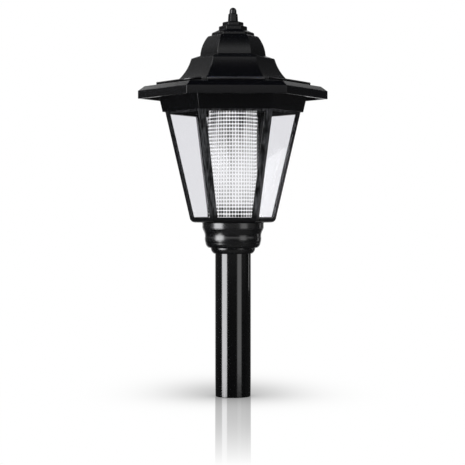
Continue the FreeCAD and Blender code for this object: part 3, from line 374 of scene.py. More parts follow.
class SweepTree(GeometryTree):
    """Sweeps a section (flat, height) round the axis, as a hexagon or round."""

    switch = maker("GeometryNodeSwitch", "Switch", "False", "True", input_type="FLOAT")

    def __init__(self) -> None:
        """Build the tree: section, path of corner fans, sweep, places."""
        super().__init__("sweep_section", edge_round=0.3 * MM, edge_steps=2, corner_round=0.4 * MM,
                         corner_steps=4, turned=False, turned_steps=96)
        given = self.given
        section = self.fillet(self.curve(given["Geometry"]), given["Edge Steps"], given["Edge Round"], True)
        section = self.store(section, "section", self.position())
        swept = self.sweep(self.fan_path(), section)
        flat, _, height = self.split(self.named("section"))
        rounding = self.math("MINIMUM", given["Corner Round"], flat * 0.6)
        inner = self.scaled(self.named("corner"), flat - rounding)
        outer = self.scaled(self.named("outward"), rounding)
        place = self.vector_sum(self.vector_sum(inner, outer), self.vector(0.0, 0.0, height))
        self.close(self.smooth(self.placed(swept, place)), "section", "corner", "outward")

    def fan_path(self) -> Term:
        """Closed path whose points know their corner and their outward direction.

        Returns:
            The path's curve.
        """
        given, index, turned = self.given, self.index(), self.given["Turned"]
        fan = given["Corner Steps"] + 1
        count = self.switch(turned, fan * SIDES, given["Turned Steps"])
        path = self.circle(count, 1.0)
        corner = self.math("FLOOR", (index + 0.5) / fan)
        hex_angle = corner * SIXTH
        swing = ((index - corner * fan) / given["Corner Steps"] - 0.5) * SIXTH
        round_angle = index / count * math.tau
        corner_angle = self.switch(turned, hex_angle, round_angle)
        fan_angle = self.switch(turned, hex_angle + swing, round_angle)
        reach = self.switch(turned, 1.0 / math.cos(SIXTH / 2), 1.0)
        for name, angle, length in (("corner", corner_angle, reach), ("outward", fan_angle, 1.0)):
            x, y = self.math("COSINE", angle) * length, self.math("SINE", angle) * length
            path = self.store(path, name, self.vector(x, y, 0.0))
        return path


class AroundTree(GeometryTree):
    """Repeats a mesh evenly round the upright axis."""

    def __init__(self) -> None:
        """Build the tree: points on the axis, turned instances, real meshes."""
        super().__init__("repeat_around", count=SIDES)
        given, index = self.given, self.index()
        points = self.add("GeometryNodePoints", {"Count": given["Count"]})
        angle = index * math.tau / given["Count"]
        turn = self.add("FunctionNodeAxisAngleToRotation", {"Axis": (0, 0, 1), "Angle": angle})
        self.close(self.add("GeometryNodeInstanceOnPoints", {
            "Points": points, "Instance": given["Geometry"], "Rotation": turn}))


class PrismTree(GeometryTree):
    """Turns the diffuser's wall and presses upright ridges into its outside."""

    def __init__(self) -> None:
        """Build the tree: fine round path, sweep, ridges on the outer points."""
        super().__init__("prism_tube", ridges=54, ridge_steps=6, ridge_depth=0.4 * MM, outside_from=17.5 * MM)
        given, index = self.given, self.index()
        section = self.store(self.curve(given["Geometry"]), "section", self.position())
        count = given["Ridges"] * given["Ridge Steps"]
        path = self.circle(count, 1.0)
        angle = index / count * math.tau
        spread = self.math("FRACT", (index + 0.001) / given["Ridge Steps"]) * 2.0 - 1.0
        dip = spread * spread * given["Ridge Depth"]
        path = self.store(path, "direction", self.vector(self.math("COSINE", angle), self.math("SINE", angle), dip))
        swept = self.sweep(path, section)
        radius, _, height = self.split(self.named("section"))
        x, y, dip = self.split(self.named("direction"))
        radius = radius - dip * (radius > given["Outside From"])
        place = self.vector(x * radius, y * radius, height)
        self.close(self.placed(swept, place), "section", "direction")


# ------------------------------------------------------------------ finishes


class Surface(Nodes):
    """Node tree of one material, with the parts that finishes share."""

    blend = maker("ShaderNodeMix", 0, 6, 7, out=2, data_type="RGBA")
    mixed = maker("ShaderNodeMixShader", 0, 1, 2)
    gloss = maker("ShaderNodeBsdfAnisotropic", "Color", "Roughness", "Normal")
    clear = maker("ShaderNodeBsdfTransparent", "Color")
    glow = maker("ShaderNodeEmission", "Color", "Strength")
    facing = maker("ShaderNodeFresnel", "IOR")
    back = maker("ShaderNodeNewGeometry", out="Backfacing")
    mapped = maker("ShaderNodeMapping", "Vector", "Scale")
    bump = maker("ShaderNodeBump", "Height", "Distance", "Normal")

    def __init__(self, name: str) -> None:
        """Start an empty node material.

        Args:
            name: Name of the material.
        """
        self.material = bpy.data.materials.new(name)
        self.material.use_nodes = True
        super().__init__(self.material.node_tree)
        self.output = self.node("ShaderNodeOutputMaterial").inputs["Surface"]
        self.place = self.add("ShaderNodeTexCoord", out="Object")

    def noise(self, scale: float, detail: float = 2.0, vector: Optional[Value] = None) -> Term:
        """Noise on Object coordinates.

        Args:
            scale: Grains per metre.
            detail: Number of finer layers.
            vector: Coordinates, if not the plain ones.

        Returns:
            Value about 0.5.
        """
        inputs = {"Vector": vector or self.place, "Scale": scale, "Detail": detail}
        return self.add("ShaderNodeTexNoise", inputs, "Fac")

    def off_whole(self, place: Term) -> Term:
        """Distance from the nearest whole number.

        Args:
            place: Coordinate above -100.

        Returns:
            The distance, up to a half.
        """
        return abs(self.math("FRACT", place + 100.5) - 0.5)

    def principled(self, **inputs: Value) -> Term:
        """Principled shader.

        Args:
            inputs: Its inputs by name, with "_" for a space.

        Returns:
            The shader.
        """
        return self.add("ShaderNodeBsdfPrincipled", {key.replace("_", " "): value for key, value in inputs.items()})

    def done(self, shader: Term) -> Material:
        """Wire the shader to the output.

        Args:
            shader: Finished shader.

        Returns:
            The material.
        """
        self.feed(self.output, shader)
        return self.material


@dataclass(frozen=True)
class Look:
    """What a material looks like."""

    name: str

    def shader(self, s: Surface) -> Term:
        """Wire the look's shader.

        Args:
            s: Surface that gets the nodes.

        Returns:
            The shader.
        """
        raise NotImplementedError

    def material(self) -> Material:
        """Build the material.

        Returns:
            The material.
        """
        s = Surface(self.name)
        return s.done(self.shader(s))


@dataclass(frozen=True)
class Solid(Look):
    """Plastic, metal or rubber whose colour, roughness and grain wander.

    cloud: grains per metre, detail, start, end and greatest share of the second colour.
    wear: grains per metre and detail of the roughness.
    bumps: grains per metre, detail, depth and stretch along Z, from coarse to fine.
    more: further inputs of the shader.
    """

    colour: tuple
    second: tuple
    roughness: Point = (0.5, 0.7)
    cloud: tuple = (260.0, 3.0, 0.3, 0.7, 1.0)
    wear: Point = (180.0, 2.0)
    bumps: tuple = ((1500.0, 2.0, 0.02, 1.0),)
    more: tuple = ()

    def shader(self, s: Surface) -> Term:
        """Wire the look's shader.

        Args:
            s: Surface that gets the nodes.

        Returns:
            The shader.
        """
        scale, detail, start, end, most = self.cloud
        share = s.ranged(s.noise(scale, detail), 0.0, most, start, end)
        normal = None
        for scale, detail, depth, stretch in self.bumps:
            normal = s.bump(s.noise(scale, detail, s.mapped(s.place, (1.0, 1.0, stretch))), depth * MM, normal)
        colour, rough = s.blend(share, self.colour, self.second), s.ranged(s.noise(*self.wear), *self.roughness)
        return s.principled(Base_Color=colour, Roughness=rough, Normal=normal, **dict(self.more))


MOULDED = Solid(
    "black_moulded_plastic", (0.0018, 0.002, 0.0029, 1), (0.0024, 0.0026, 0.0036, 1), (0.2, 0.235),
    (55.0, 3.0, 0.3, 0.7, 1.0), (140.0, 4.0), ((95.0, 1.0, 0.003, 1.0), (1700.0, 2.0, 0.0025, 1.0)),
    (("IOR", 1.5), ("Specular_IOR_Level", 0.5)))
NECK_PLASTIC = replace(
    MOULDED, name="black_neck_plastic", roughness=(0.21, 0.24), more=(("IOR", 1.8), ("Specular_IOR_Level", 0.54)))
LACQUER = Solid(
    "pole_lacquer", (0.0013, 0.0014, 0.0017, 1), (0.06, 0.06, 0.065, 1), (0.09, 0.13),
    (3200.0, 1.0, 0.72, 0.78, 0.35), (90.0, 3.0), ((1300.0, 2.0, 0.004, 0.03), (380.0, 1.0, 0.006, 1.0)),
    (("IOR", 1.8), ("Specular_IOR_Level", 0.52)))
STEEL = Solid(
    "plated_steel", (0.62, 0.62, 0.6, 1), (0.48, 0.47, 0.44, 1), (0.2, 0.38),
    (420.0, 4.0, 0.35, 0.75, 1.0), (900.0, 3.0), ((3000.0, 2.0, 0.006, 1.0),), (("Metallic", 1.0),))
KNOB = Solid("switch_knob", (0.02, 0.02, 0.022, 1), (0.03, 0.03, 0.032, 1), (0.35, 0.5))
RUBBER = Solid("soft_rubber", (0.025, 0.025, 0.026, 1), (0.04, 0.04, 0.04, 1), (0.7, 0.85))
CELL_SLEEVE = Solid("cell_sleeve", (0.07, 0.2, 0.12, 1), (0.1, 0.27, 0.17, 1), (0.25, 0.4))
SWITCH_CASE = Solid("switch_case", (0.07, 0.07, 0.08, 1), (0.1, 0.1, 0.11, 1))
WIRE_SLEEVE = Solid("wire_sleeve", (0.3, 0.015, 0.015, 1), (0.38, 0.03, 0.03, 1), (0.35, 0.5))


@dataclass(frozen=True)
class PostPlastic(Look):
    """Black plastic of the thin posts, set wavy, with a painted sheen that makes the front ones a little pale."""

    name: str = "black_post_plastic"
    colour: tuple = (0.0035, 0.0038, 0.0048, 1)
    painted_sheen: tuple = (0.12, 0.124, 0.134, 1)
    # foot and front place the painted sheen: above a height, and on the side towards the front
    foot: Point = (125.5, 126.5)
    front: Point = (-16.0, -8.0)
    stretch: float = 0.09

    def shader(self, s: Surface) -> Term:
        """Wire the look's shader.

        Args:
            s: Surface that gets the nodes.

        Returns:
            The shader.
        """
        ripple_and_sheen = s.noise(620.0, 3.0, s.mapped(s.place, (1.0, 1.0, self.stretch)))
        grain = s.noise(1500.0, 2.0)
        _, depth, height = s.split(s.place)
        # Painted sheen: a pale wavy streak that stands in for a reflection on the front posts
        share = s.ranged(ripple_and_sheen, 0.0, 1.0, 0.42, 0.66) * s.ranged(grain, 0.4, 1.0, 0.35, 0.65)
        share = share * s.ranged(height, 0.0, 1.0, self.foot[0] * MM, self.foot[1] * MM)
        share = share * s.ranged(depth, 1.0, 0.2, self.front[0] * MM, self.front[1] * MM)
        normal = s.bump(grain, 0.012 * MM, s.bump(ripple_and_sheen, 0.05 * MM))
        return s.principled(
            Base_Color=s.blend(share, self.colour, self.painted_sheen), Roughness=s.ranged(ripple_and_sheen, 0.26, 0.42), Normal=normal)


@dataclass(frozen=True)
class ClearSheet(Look):
    """Thin clear sheet that lets light straight through."""

    name: str = "clear_pane"
    tint: tuple = (0.972, 0.972, 0.982, 1)
    index: float = 1.49

    def shader(self, s: Surface) -> Term:
        """Wire the look's shader.

        Args:
            s: Surface that gets the nodes.

        Returns:
            The shader.
        """
        ripple = s.bump(s.noise(40.0, 1.0), 0.002 * MM)
        mirror = s.gloss(WHITE, s.ranged(s.noise(120.0, 3.0), 0.02, 0.05), ripple)
        factor = s.facing(self.index) * (1.0 - s.math("MAXIMUM", s.ray("Shadow"), s.back()))
        return s.mixed(factor, s.clear(self.tint), mirror)


@dataclass(frozen=True)
class PrismPlastic(Look):
    """Clear moulded plastic with painted shade for the dark of cap and floor in its small lenses.

    Each lens lies between two ridges and two rings. It shows a painted dark
    square, strong near the cap and the foot and faint half-way up. The tube's
    inner rear wall glows with a painted white.
    """

    name: str = "prism_plastic"
    index: float = 1.5
    columns: int = 54
    pitch: float = 2.47
    first_row: float = 197.2
    squat: float = 0.86
    plain: float = 0.985
    inside: float = 17.0
    # Level of the painted glow on the inner rear wall, and the height below which it also covers the near inner wall
    glow_level: float = 1.03
    painted_glow_foot: float = 128.0
    # stops: heights and strength of the painted dark squares, which stand in for shade
    stops: Stops = ((126.0, 1.0), (129.5, 1.0), (134.0, 0.56), (150.0, 0.4), (164.0, 0.5),
                    (178.0, 0.7), (187.0, 0.86), (192.0, 1.0))

    def shader(self, s: Surface) -> Term:
        """Wire the look's shader.

        Args:
            s: Surface that gets the nodes.

        Returns:
            The shader.
        """
        x, y, z = s.split(s.place)
        turn = s.math("ARCTAN2", y, x) / math.tau
        across = s.off_whole(turn * self.columns + 0.5)
        along = s.off_whole((z - self.first_row * MM) / (self.pitch * MM))
        stops = [(place * MM, share) for place, share in self.stops]
        patch = s.noise(45.0, 1.0, s.vector(turn * 0.35, 0.0, z * 0.6))
        # Painted shade: dark squares, set by height, stand in for the cap and floor seen through the lenses
        dark = s.ramp(z, stops, stops[0][0], stops[-1][0]) * s.ranged(patch, 0.7, 1.16)
        width = s.ranged(dark, 0.3, 0.45, 0.3, 1.0)
        square = (across / width) ** 3.0 + (along / (width * self.squat)) ** 3.0
        shade = self.plain - s.math("MINIMUM", dark, self.plain) * s.ranged(square, 1.0, 0.0, 0.75, 1.25)
        near = 1.0 - s.back()
        outside = s.math("SQRT", x * x + y * y) > self.inside * MM
        shade = (shade - self.plain) * (near * outside) + self.plain
        gloss = s.gloss(WHITE, s.ranged(s.noise(300.0, 2.0), 0.04, 0.12))
        front = s.mixed(s.facing(self.index) * near * 0.7, s.clear(s.vector(shade, shade, shade * 1.004)), gloss)
        # Painted glow: the inner rear wall emits white, standing in for light the prisms gather; it is no lamp
        grey = s.ranged(s.noise(30.0, 2.0), self.glow_level * 0.94, self.glow_level)
        painted_glow = s.principled(Base_Color=(0.02, 0.02, 0.02, 1), Roughness=0.5,
                             Emission_Color=s.vector(grey, grey, grey), Emission_Strength=1.0)
        rear = s.math("MAXIMUM", near, z < self.painted_glow_foot * MM) * (1.0 - outside)
        return s.mixed(rear, front, painted_glow)


@dataclass(frozen=True)
class SolarGlass(Look):
    """Dark cells with silver fingers under clear resin; reads the panel's own map.

    finger, bus and gap hold the pitch of such lines and a line's half width as a share of it.
    """

    name: str = "solar_glass"
    cell: tuple = (0.006, 0.009, 0.028, 1)
    crystal: tuple = (0.012, 0.02, 0.06, 1)
    silver: tuple = (0.45, 0.46, 0.48, 1)
    border: tuple = (0.02, 0.02, 0.022, 1)
    finger: Point = (1.25, 0.09)
    bus: Point = (4.6, 0.045)
    bus_shift: float = 2.3
    gap: Point = (9.4, 0.05)
    half: Point = (17.9, 5.6)

    def shader(self, s: Surface) -> Term:
        """Wire the look's shader.

        Args:
            s: Surface that gets the nodes.

        Returns:
            The shader.
        """
        u, v, _ = s.split(s.add("ShaderNodeUVMap", uv_map="panel_map"))
        facet = s.add("ShaderNodeTexVoronoi", {"Vector": s.place, "Scale": 420.0}, "Color", feature="F1")
        colour = s.blend(s.ranged(facet, 0.0, 1.0, 0.1, 0.9), self.cell, self.crystal)
        lines = ((u, self.finger, self.silver), (v + self.bus_shift, self.bus, self.silver), (u, self.gap, self.border))
        for place, (pitch, share), tone in lines:
            colour = s.blend(s.off_whole(place / pitch) < share, colour, tone)
        colour = s.blend((abs(u) < self.half[0]) * (abs(v) < self.half[1]), self.border, colour)
        return s.principled(Base_Color=colour, Roughness=0.3, Coat_Weight=1.0, Coat_Roughness=0.03,
                            Coat_Normal=s.bump(s.noise(120.0, 1.0), 0.01 * MM))


@dataclass(frozen=True)
class Laminate(Look):
    """Green board with copper tracks under its varnish."""

    name: str = "board_laminate"
    varnish: tuple = (0.015, 0.11, 0.045, 1)
    track: tuple = (0.03, 0.2, 0.08, 1)

    def shader(self, s: Surface) -> Term:
        """Wire the look's shader.

        Args:
            s: Surface that gets the nodes.

        Returns:
            The shader.
        """
        brick = s.add("ShaderNodeTexBrick", {
            "Vector": s.place, "Scale": 300.0, "Mortar Size": 0.06, "Mortar Smooth": 0.2,
            "Color1": self.varnish, "Color2": self.varnish, "Mortar": self.track}, "Color")
        return s.principled(Base_Color=brick, Roughness=s.ranged(s.noise(500.0), 0.3, 0.45),
                            Normal=s.bump(brick.beside("Fac"), 0.03 * MM))


@dataclass(frozen=True)
class LampResin(Look):
    """Clear resin of the light, with a faint yellow heart."""

    name: str = "lamp_resin"
    clear: tuple = (0.93, 0.94, 0.93, 1)
    heart: tuple = (0.9, 0.82, 0.45, 1)
    heart_heights: Point = (205.5, 208.5)

    def shader(self, s: Surface) -> Term:
        """Wire the look's shader.

        Args:
            s: Surface that gets the nodes.

        Returns:
            The shader.
        """
        low, high = self.heart_heights
        share = s.ranged(s.split(s.place)[2], 0.0, 1.0, low * MM, high * MM)
        return s.principled(
            Base_Color=s.blend(share, self.clear, self.heart), Roughness=s.ranged(s.noise(400.0), 0.03, 0.08),
            IOR=1.5, Transmission_Weight=0.75)


# -------------------------------------------------------------------- meshes


def arc(start: Point, end: Point, radius: float, turn: Turn, steps: int) -> list[Point]:
    """Points of the shorter arc between two points, without the start.

    Args:
        start: First point.
        end: Last point.
        radius: Radius of the arc.
        turn: Way that the arc turns.
        steps: Number of chords.

    Returns:
        The points after the start, the end among them.
    """
    a, b = Vector(start), Vector(end)
    chord = b - a
    across = Vector((-chord.y, chord.x)).normalized()
    reach = math.sqrt(max(radius**2 - chord.length**2 / 4, 0.0))
    centre = (a + b) / 2 + across * (reach * turn.value)
    first = a - centre
    swing = first.angle_signed(b - centre)
    points = []
    for step in range(1, steps):
        spoke = first.copy()
        spoke.rotate(Matrix.Rotation(-swing * step / steps, 2))
        points.append(tuple(centre + spoke))
    return points + [tuple(end)]


def link(mesh: bpy.types.Mesh, name: str) -> Object:
    """Make an object of a mesh in the scene.

    Args:
        mesh: Its mesh.
        name: Its name.

    Returns:
        The object.
    """
    thing = bpy.data.objects.new(name, mesh)
    bpy.context.scene.collection.objects.link(thing)
    return thing


def plotted(name: str, points: list, edges: list, faces: list) -> Object:
    """Make an object of plain lists.

    Args:
        name: Its name.
        points: Places in metres.
        edges: Pairs of point numbers.
        faces: Rings of point numbers.

    Returns:
        The object.
    """
    mesh = bpy.data.meshes.new(name)
    mesh.from_pydata(points, edges, faces)
    return link(mesh, name)


def poured(work: bmesh.types.BMesh, name: str) -> Object:
    """Make an object of a bmesh, which ends with it.

    Args:
        work: Its shape.
        name: Its name.

    Returns:
        The object.
    """
    mesh = bpy.data.meshes.new(name)
    work.to_mesh(mesh)
    work.free()
    return link(mesh, name)


def outline(name: str, corners: list[Point]) -> Object:
    """Closed line of a section in the XZ plane.

    Args:
        name: Name of the object.
        corners: Points (flat, height) in millimetres.

    Returns:
        An object whose mesh is the closed line, in metres.
    """
    count = len(corners)
    points = [(x * MM, 0.0, z * MM) for x, z in corners]
    return plotted(name, points, [(i, (i + 1) % count) for i in range(count)], [])


def settle(thing: Object, closed: bool = False) -> Object:
    """Turn an object with its modifiers into a plain mesh.

    Args:
        thing: Object that is evaluated.
        closed: Whether doubles are merged and normals made to point out.

    Returns:
        The same object with a plain mesh and no modifiers.
    """
    bpy.context.view_layer.update()
    graph = bpy.context.evaluated_depsgraph_get()
    mesh = bpy.data.meshes.new_from_object(
        thing.evaluated_get(graph), preserve_all_data_layers=True, depsgraph=graph)
    thing.modifiers.clear()
    thing.data = mesh
    mesh.name = thing.name
    if closed:
        work = bmesh.new()
        work.from_mesh(mesh)
        bmesh.ops.remove_doubles(work, verts=work.verts, dist=0.0005 * MM)
        bmesh.ops.dissolve_degenerate(work, edges=work.edges, dist=0.0002 * MM)
        bmesh.ops.recalc_face_normals(work, faces=work.faces)
        work.to_mesh(mesh)
        work.free()
    return thing


def carve(thing: Object, cutter: Object) -> None:
    """Cut one shape out of another and drop the cutter.

    Args:
        thing: Piece that is cut.
        cutter: Shape that is taken out.
    """
    cut = thing.modifiers.new(cutter.name, "BOOLEAN")
    cut.object = cutter
    cut.operation = "DIFFERENCE"
    cut.solver = "EXACT"
    settle(thing)
    bpy.data.objects.remove(cutter)


def dress(thing: Object, body: Body, slot: Slot, *nodes: str, weighed: bool = True) -> None:
    """Hand a finished piece to the frame.

    Args:
        thing: Finished piece.
        body: Body that it rides on.
        slot: Slot of the record; not used.
        nodes: CAD nodes that it stands for.
        weighed: Whether its larger faces lead its shading.
    """
    if weighed:
        thing.modifiers.new("weigh", "WEIGHTED_NORMAL").weight = 100
        settle(thing)
    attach(thing, body.value)
    if nodes:
        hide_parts(*nodes)
    LOG.info("%s: %d faces on %s", thing.name, len(thing.data.polygons), body.value)


def coat(material: Material, *nodes: str) -> None:
    """Give CAD nodes that stay a finish.

    Args:
        material: The finish.
        nodes: Names of the nodes.
    """
    for name in nodes:
        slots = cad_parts[name].data.materials
        slots.clear()
        slots.append(material)


@dataclass
class Softened:
    """Copy of a CAD node whose edges are slightly rounded, as moulded ones are."""

    node: str
    name: str
    width: float
    steps: int = 2
    merge: float = 0.002
    level: float = 0.4
    sharp: float = 28.0

    def build(self, body: Body, slot: Slot, material: Material) -> None:
        """Merge the copy's triangles to plain faces and round its edges.

        Args:
            body: Body that it rides on.
            slot: Slot of the record, passed on to dress, which does not use it.
            material: Its finish.
        """
        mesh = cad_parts[self.node].data.copy()
        work = bmesh.new()
        work.from_mesh(mesh)
        bmesh.ops.remove_doubles(work, verts=work.verts, dist=self.merge * MM)
        bmesh.ops.dissolve_limit(work, angle_limit=math.radians(self.level), use_dissolve_boundaries=False,
                                 verts=work.verts, edges=work.edges)
        bmesh.ops.triangulate(work, faces=[f for f in work.faces if len(f.verts) > 4], ngon_method="EAR_CLIP")
        for face in work.faces:
            face.smooth = True
        work.to_mesh(mesh)
        work.free()
        mesh.materials.clear()
        for name in [a.name for a in mesh.attributes if a.name in ("custom_normal", "sharp_edge", "sharp_face")]:
            mesh.attributes.remove(mesh.attributes[name])
        thing = link(mesh, self.name)
        bevel = thing.modifiers.new("soft_edges", "BEVEL")
        bevel.width = self.width * MM
        bevel.segments = self.steps
        bevel.limit_method = "ANGLE"
        bevel.angle_limit = math.radians(self.sharp)
        bevel.harden_normals = True
        bevel.use_clamp_overlap = True
        settle(thing).data.materials.append(material)
        dress(thing, body, slot, self.node, weighed=False)


@dataclass
class Shop:
    """Trees and materials that several sub-assemblies share."""

    sweep: SweepTree = field(default_factory=SweepTree)
    around: AroundTree = field(default_factory=AroundTree)
    black: Material = field(default_factory=MOULDED.material)
    steel: Material = field(default_factory=STEEL.material)

    def swept(
        self, name: str, corners: list[Point], material: Material, edge_round: float = 0.3,
        edge_steps: int = 2, turned_steps: int = 0, corner_round: float = 0.5,
    ) -> Object:
        """Sweep a section round the axis.

        Args:
            name: Name of the piece.
            corners: Closed section in millimetres.
            material: Its finish.
            edge_round: Rounding of the section's corners.
            edge_steps: Steps of that rounding.
            turned_steps: Steps round the axis; 0 makes a hexagon.
            corner_round: Rounding of the hexagon's corners.

        Returns:
            The piece.
        """
        thing = outline(name, corners)
        self.sweep.attach(
            thing, edge_round=edge_round * MM, edge_steps=edge_steps, corner_round=corner_round * MM,
            corner_steps=4, turned=turned_steps > 0, turned_steps=turned_steps, material=material)
        return settle(thing, closed=True)


# -------------------------------------------------------------- sub-assemblies


@dataclass
class Pole:
    """Round steel tube."""

    radius: float = 12.5
    bore: float = 11.3
    height: float = 113.2

    def build(self, shop: Shop) -> None:
        """Turn the tube.

        Args:
            shop: Shared trees and materials.
        """
        section = [(self.bore, 0.0), (self.radius, 0.0), (self.radius, self.height), (self.bore, self.height)]
        tube = shop.swept("lantern_pole", section, LACQUER.material(), 0.35, 3, 128)
        dress(tube, Body.ROOT, Slot.POLE_LACQUER, "pole")


@dataclass
class Neck:
    """Turned-looking moulded neck over the pole."""

    seat: float = 99.2
    bore: float = 12.6
    socket_depth: float = 14.0
    stop: float = 2.0
    drain: float = 3.0
    wall: float = 1.5
    height: float = 21.6
    ring_radius: float = 15.5
    ring_round: Point = (2.2, 3.9)
    ring_height: float = 4.1
    bowl: tuple[Point, Point] = ((17.1, 4.1), (19.15, 7.4))
    bowl_curve: float = 4.2
    bulge_curve: float = 8.5
    waist: Point = (19.55, 12.0)
    crease: Point = (21.2, 17.0)
    flare_curve: float = 9.0
    band_radius: float = 21.4

    def section(self) -> list[Point]:
        """Closed section of the neck.

        Returns:
            Its corners, in the frame's heights.
        """
        ring_in, ring_rise = self.ring_round
        ring_curve = (ring_in**2 + ring_rise**2) / (2 * ring_in)
        crease_x, crease_z = self.crease
        inner = self.bore + self.wall
        stop_top = self.socket_depth + self.stop
        ring_foot = (self.ring_radius - ring_in, 0.0)
        ring_side = (self.ring_radius, ring_rise)
        points = [(self.drain, stop_top), (self.drain, self.socket_depth), (self.bore, self.socket_depth)]
        points += [(self.bore, 0.4), (self.bore + 0.4, 0.0), ring_foot]
        points += arc(ring_foot, ring_side, ring_curve, Turn.LEFT, 5)
        points += [(self.ring_radius, self.ring_height), self.bowl[0]]
        points += arc(self.bowl[0], self.bowl[1], self.bowl_curve, Turn.LEFT, 6)
        points += arc(self.bowl[1], self.waist, self.bulge_curve, Turn.LEFT, 6)
        points += arc(self.waist, self.crease, self.flare_curve, Turn.RIGHT, 6)
        points += [(crease_x - 0.25, crease_z + 0.25), (self.band_radius, crease_z + 0.6)]
        points += [(self.band_radius, self.height - 0.3), (self.band_radius - 0.3, self.height)]
        points += [(crease_x - self.wall, self.height), (crease_x - self.wall, crease_z)]
        points += [(self.waist[0] - self.wall, self.waist[1]), (self.bowl[0][0], self.bowl[1][1])]
        points += [(inner, self.bowl[1][1]), (inner, self.height), (self.bore, self.height), (self.bore, stop_top)]
        return [(x, z + self.seat) for x, z in points]

    def build(self, shop: Shop) -> None:
        """Turn the neck.

        Args:
            shop: Shared trees and materials.
        """
        neck = shop.swept("lantern_neck", self.section(), NECK_PLASTIC.material(), 0.12, 2, 128)
        dress(neck, Body.ROOT, Slot.BLACK_PLASTIC, "neck_socket")


@dataclass
class Cage:
    """Tapered frame with its panes, and the collar over it."""

    seat: float = 120.8
    height: float = 84.5
    foot_flat: float = 25.41
    face_angle: float = 11.32
    collar_skirt: float = 7.7
    collar_wall: float = 1.73
    collar_flange: float = 3.7
    collar_flange_width: float = 8.33
    clearance: float = 0.15

    def flat_at(self, height: float) -> float:
        """Flat distance of the outer faces.

        Args:
            height: Height above the cage's foot.

        Returns:
            The distance.
        """
        return self.foot_flat + height * math.tan(math.radians(self.face_angle))

    def collar_section(self) -> list[Point]:
        """Closed section of the top collar.

        Returns:
            Its corners, in the frame's heights.
        """
        low, rail = self.height - self.collar_skirt, self.height
        top = self.height + self.collar_flange
        mouth = self.flat_at(rail) - self.collar_flange_width
        points = [
            (mouth, rail), (self.flat_at(rail) + self.clearance, rail), (self.flat_at(low) + self.clearance, low),
            (self.flat_at(low) + self.collar_wall, low), (self.flat_at(top) + self.collar_wall, top), (mouth, top)]
        return [(x, z + self.seat) for x, z in points]

    def build(self, shop: Shop) -> None:
        """Build frame, collar and panes.

        Args:
            shop: Shared trees and materials.
        """
        Softened("cage_frame", "lantern_cage", 0.35, 3).build(
            Body.ROOT, Slot.BLACK_PLASTIC, PostPlastic().material())
        collar = shop.swept("lantern_collar", self.collar_section(), shop.black)
        dress(collar, Body.ROOT, Slot.BLACK_PLASTIC, "top_collar")
        coat(ClearSheet().material(), *("pane_%d" % (side + 1) for side in range(SIDES)))


@dataclass
class Diffuser:
    """Clear tube with upright ridges outside and rings inside."""

    foot: float = 122.8
    height: float = 84.2
    radius: float = 17.8
    bore: float = 16.3
    ring_pitch: float = 2.5
    ring_depth: float = 0.75
    ridges: int = 54
    ridge_depth: float = 0.35
    outside_from: float = 17.5

    def section(self) -> list[Point]:
        """Closed section: rings up the bore, plain wall outside.

        Returns:
            Its corners, in the frame's heights.
        """
        count = int((self.height - 1.0) / self.ring_pitch)
        start = (self.height - count * self.ring_pitch) / 2
        points = [(self.radius, self.height), (self.bore, self.height)]
        for ring in reversed(range(count)):
            low = start + ring * self.ring_pitch
            points += [(self.bore, low + self.ring_pitch), (self.bore + self.ring_depth, low + self.ring_pitch / 2)]
        points += [(self.bore, start), (self.bore, 0.0), (self.radius, 0.0)]
        return [(x, z + self.foot) for x, z in points]

    def build(self, shop: Shop) -> None:
        """Build the tube.

        Args:
            shop: Shared trees and materials; not used.
        """
        tube = outline("prism_diffuser", self.section())
        PrismTree().attach(tube, ridges=self.ridges, ridge_steps=6, ridge_depth=self.ridge_depth * MM,
                           outside_from=self.outside_from * MM, material=PrismPlastic().material())
        settle(tube, closed=True)
        dress(tube, Body.ROOT, Slot.PRISM_PLASTIC, "diffuser", weighed=False)


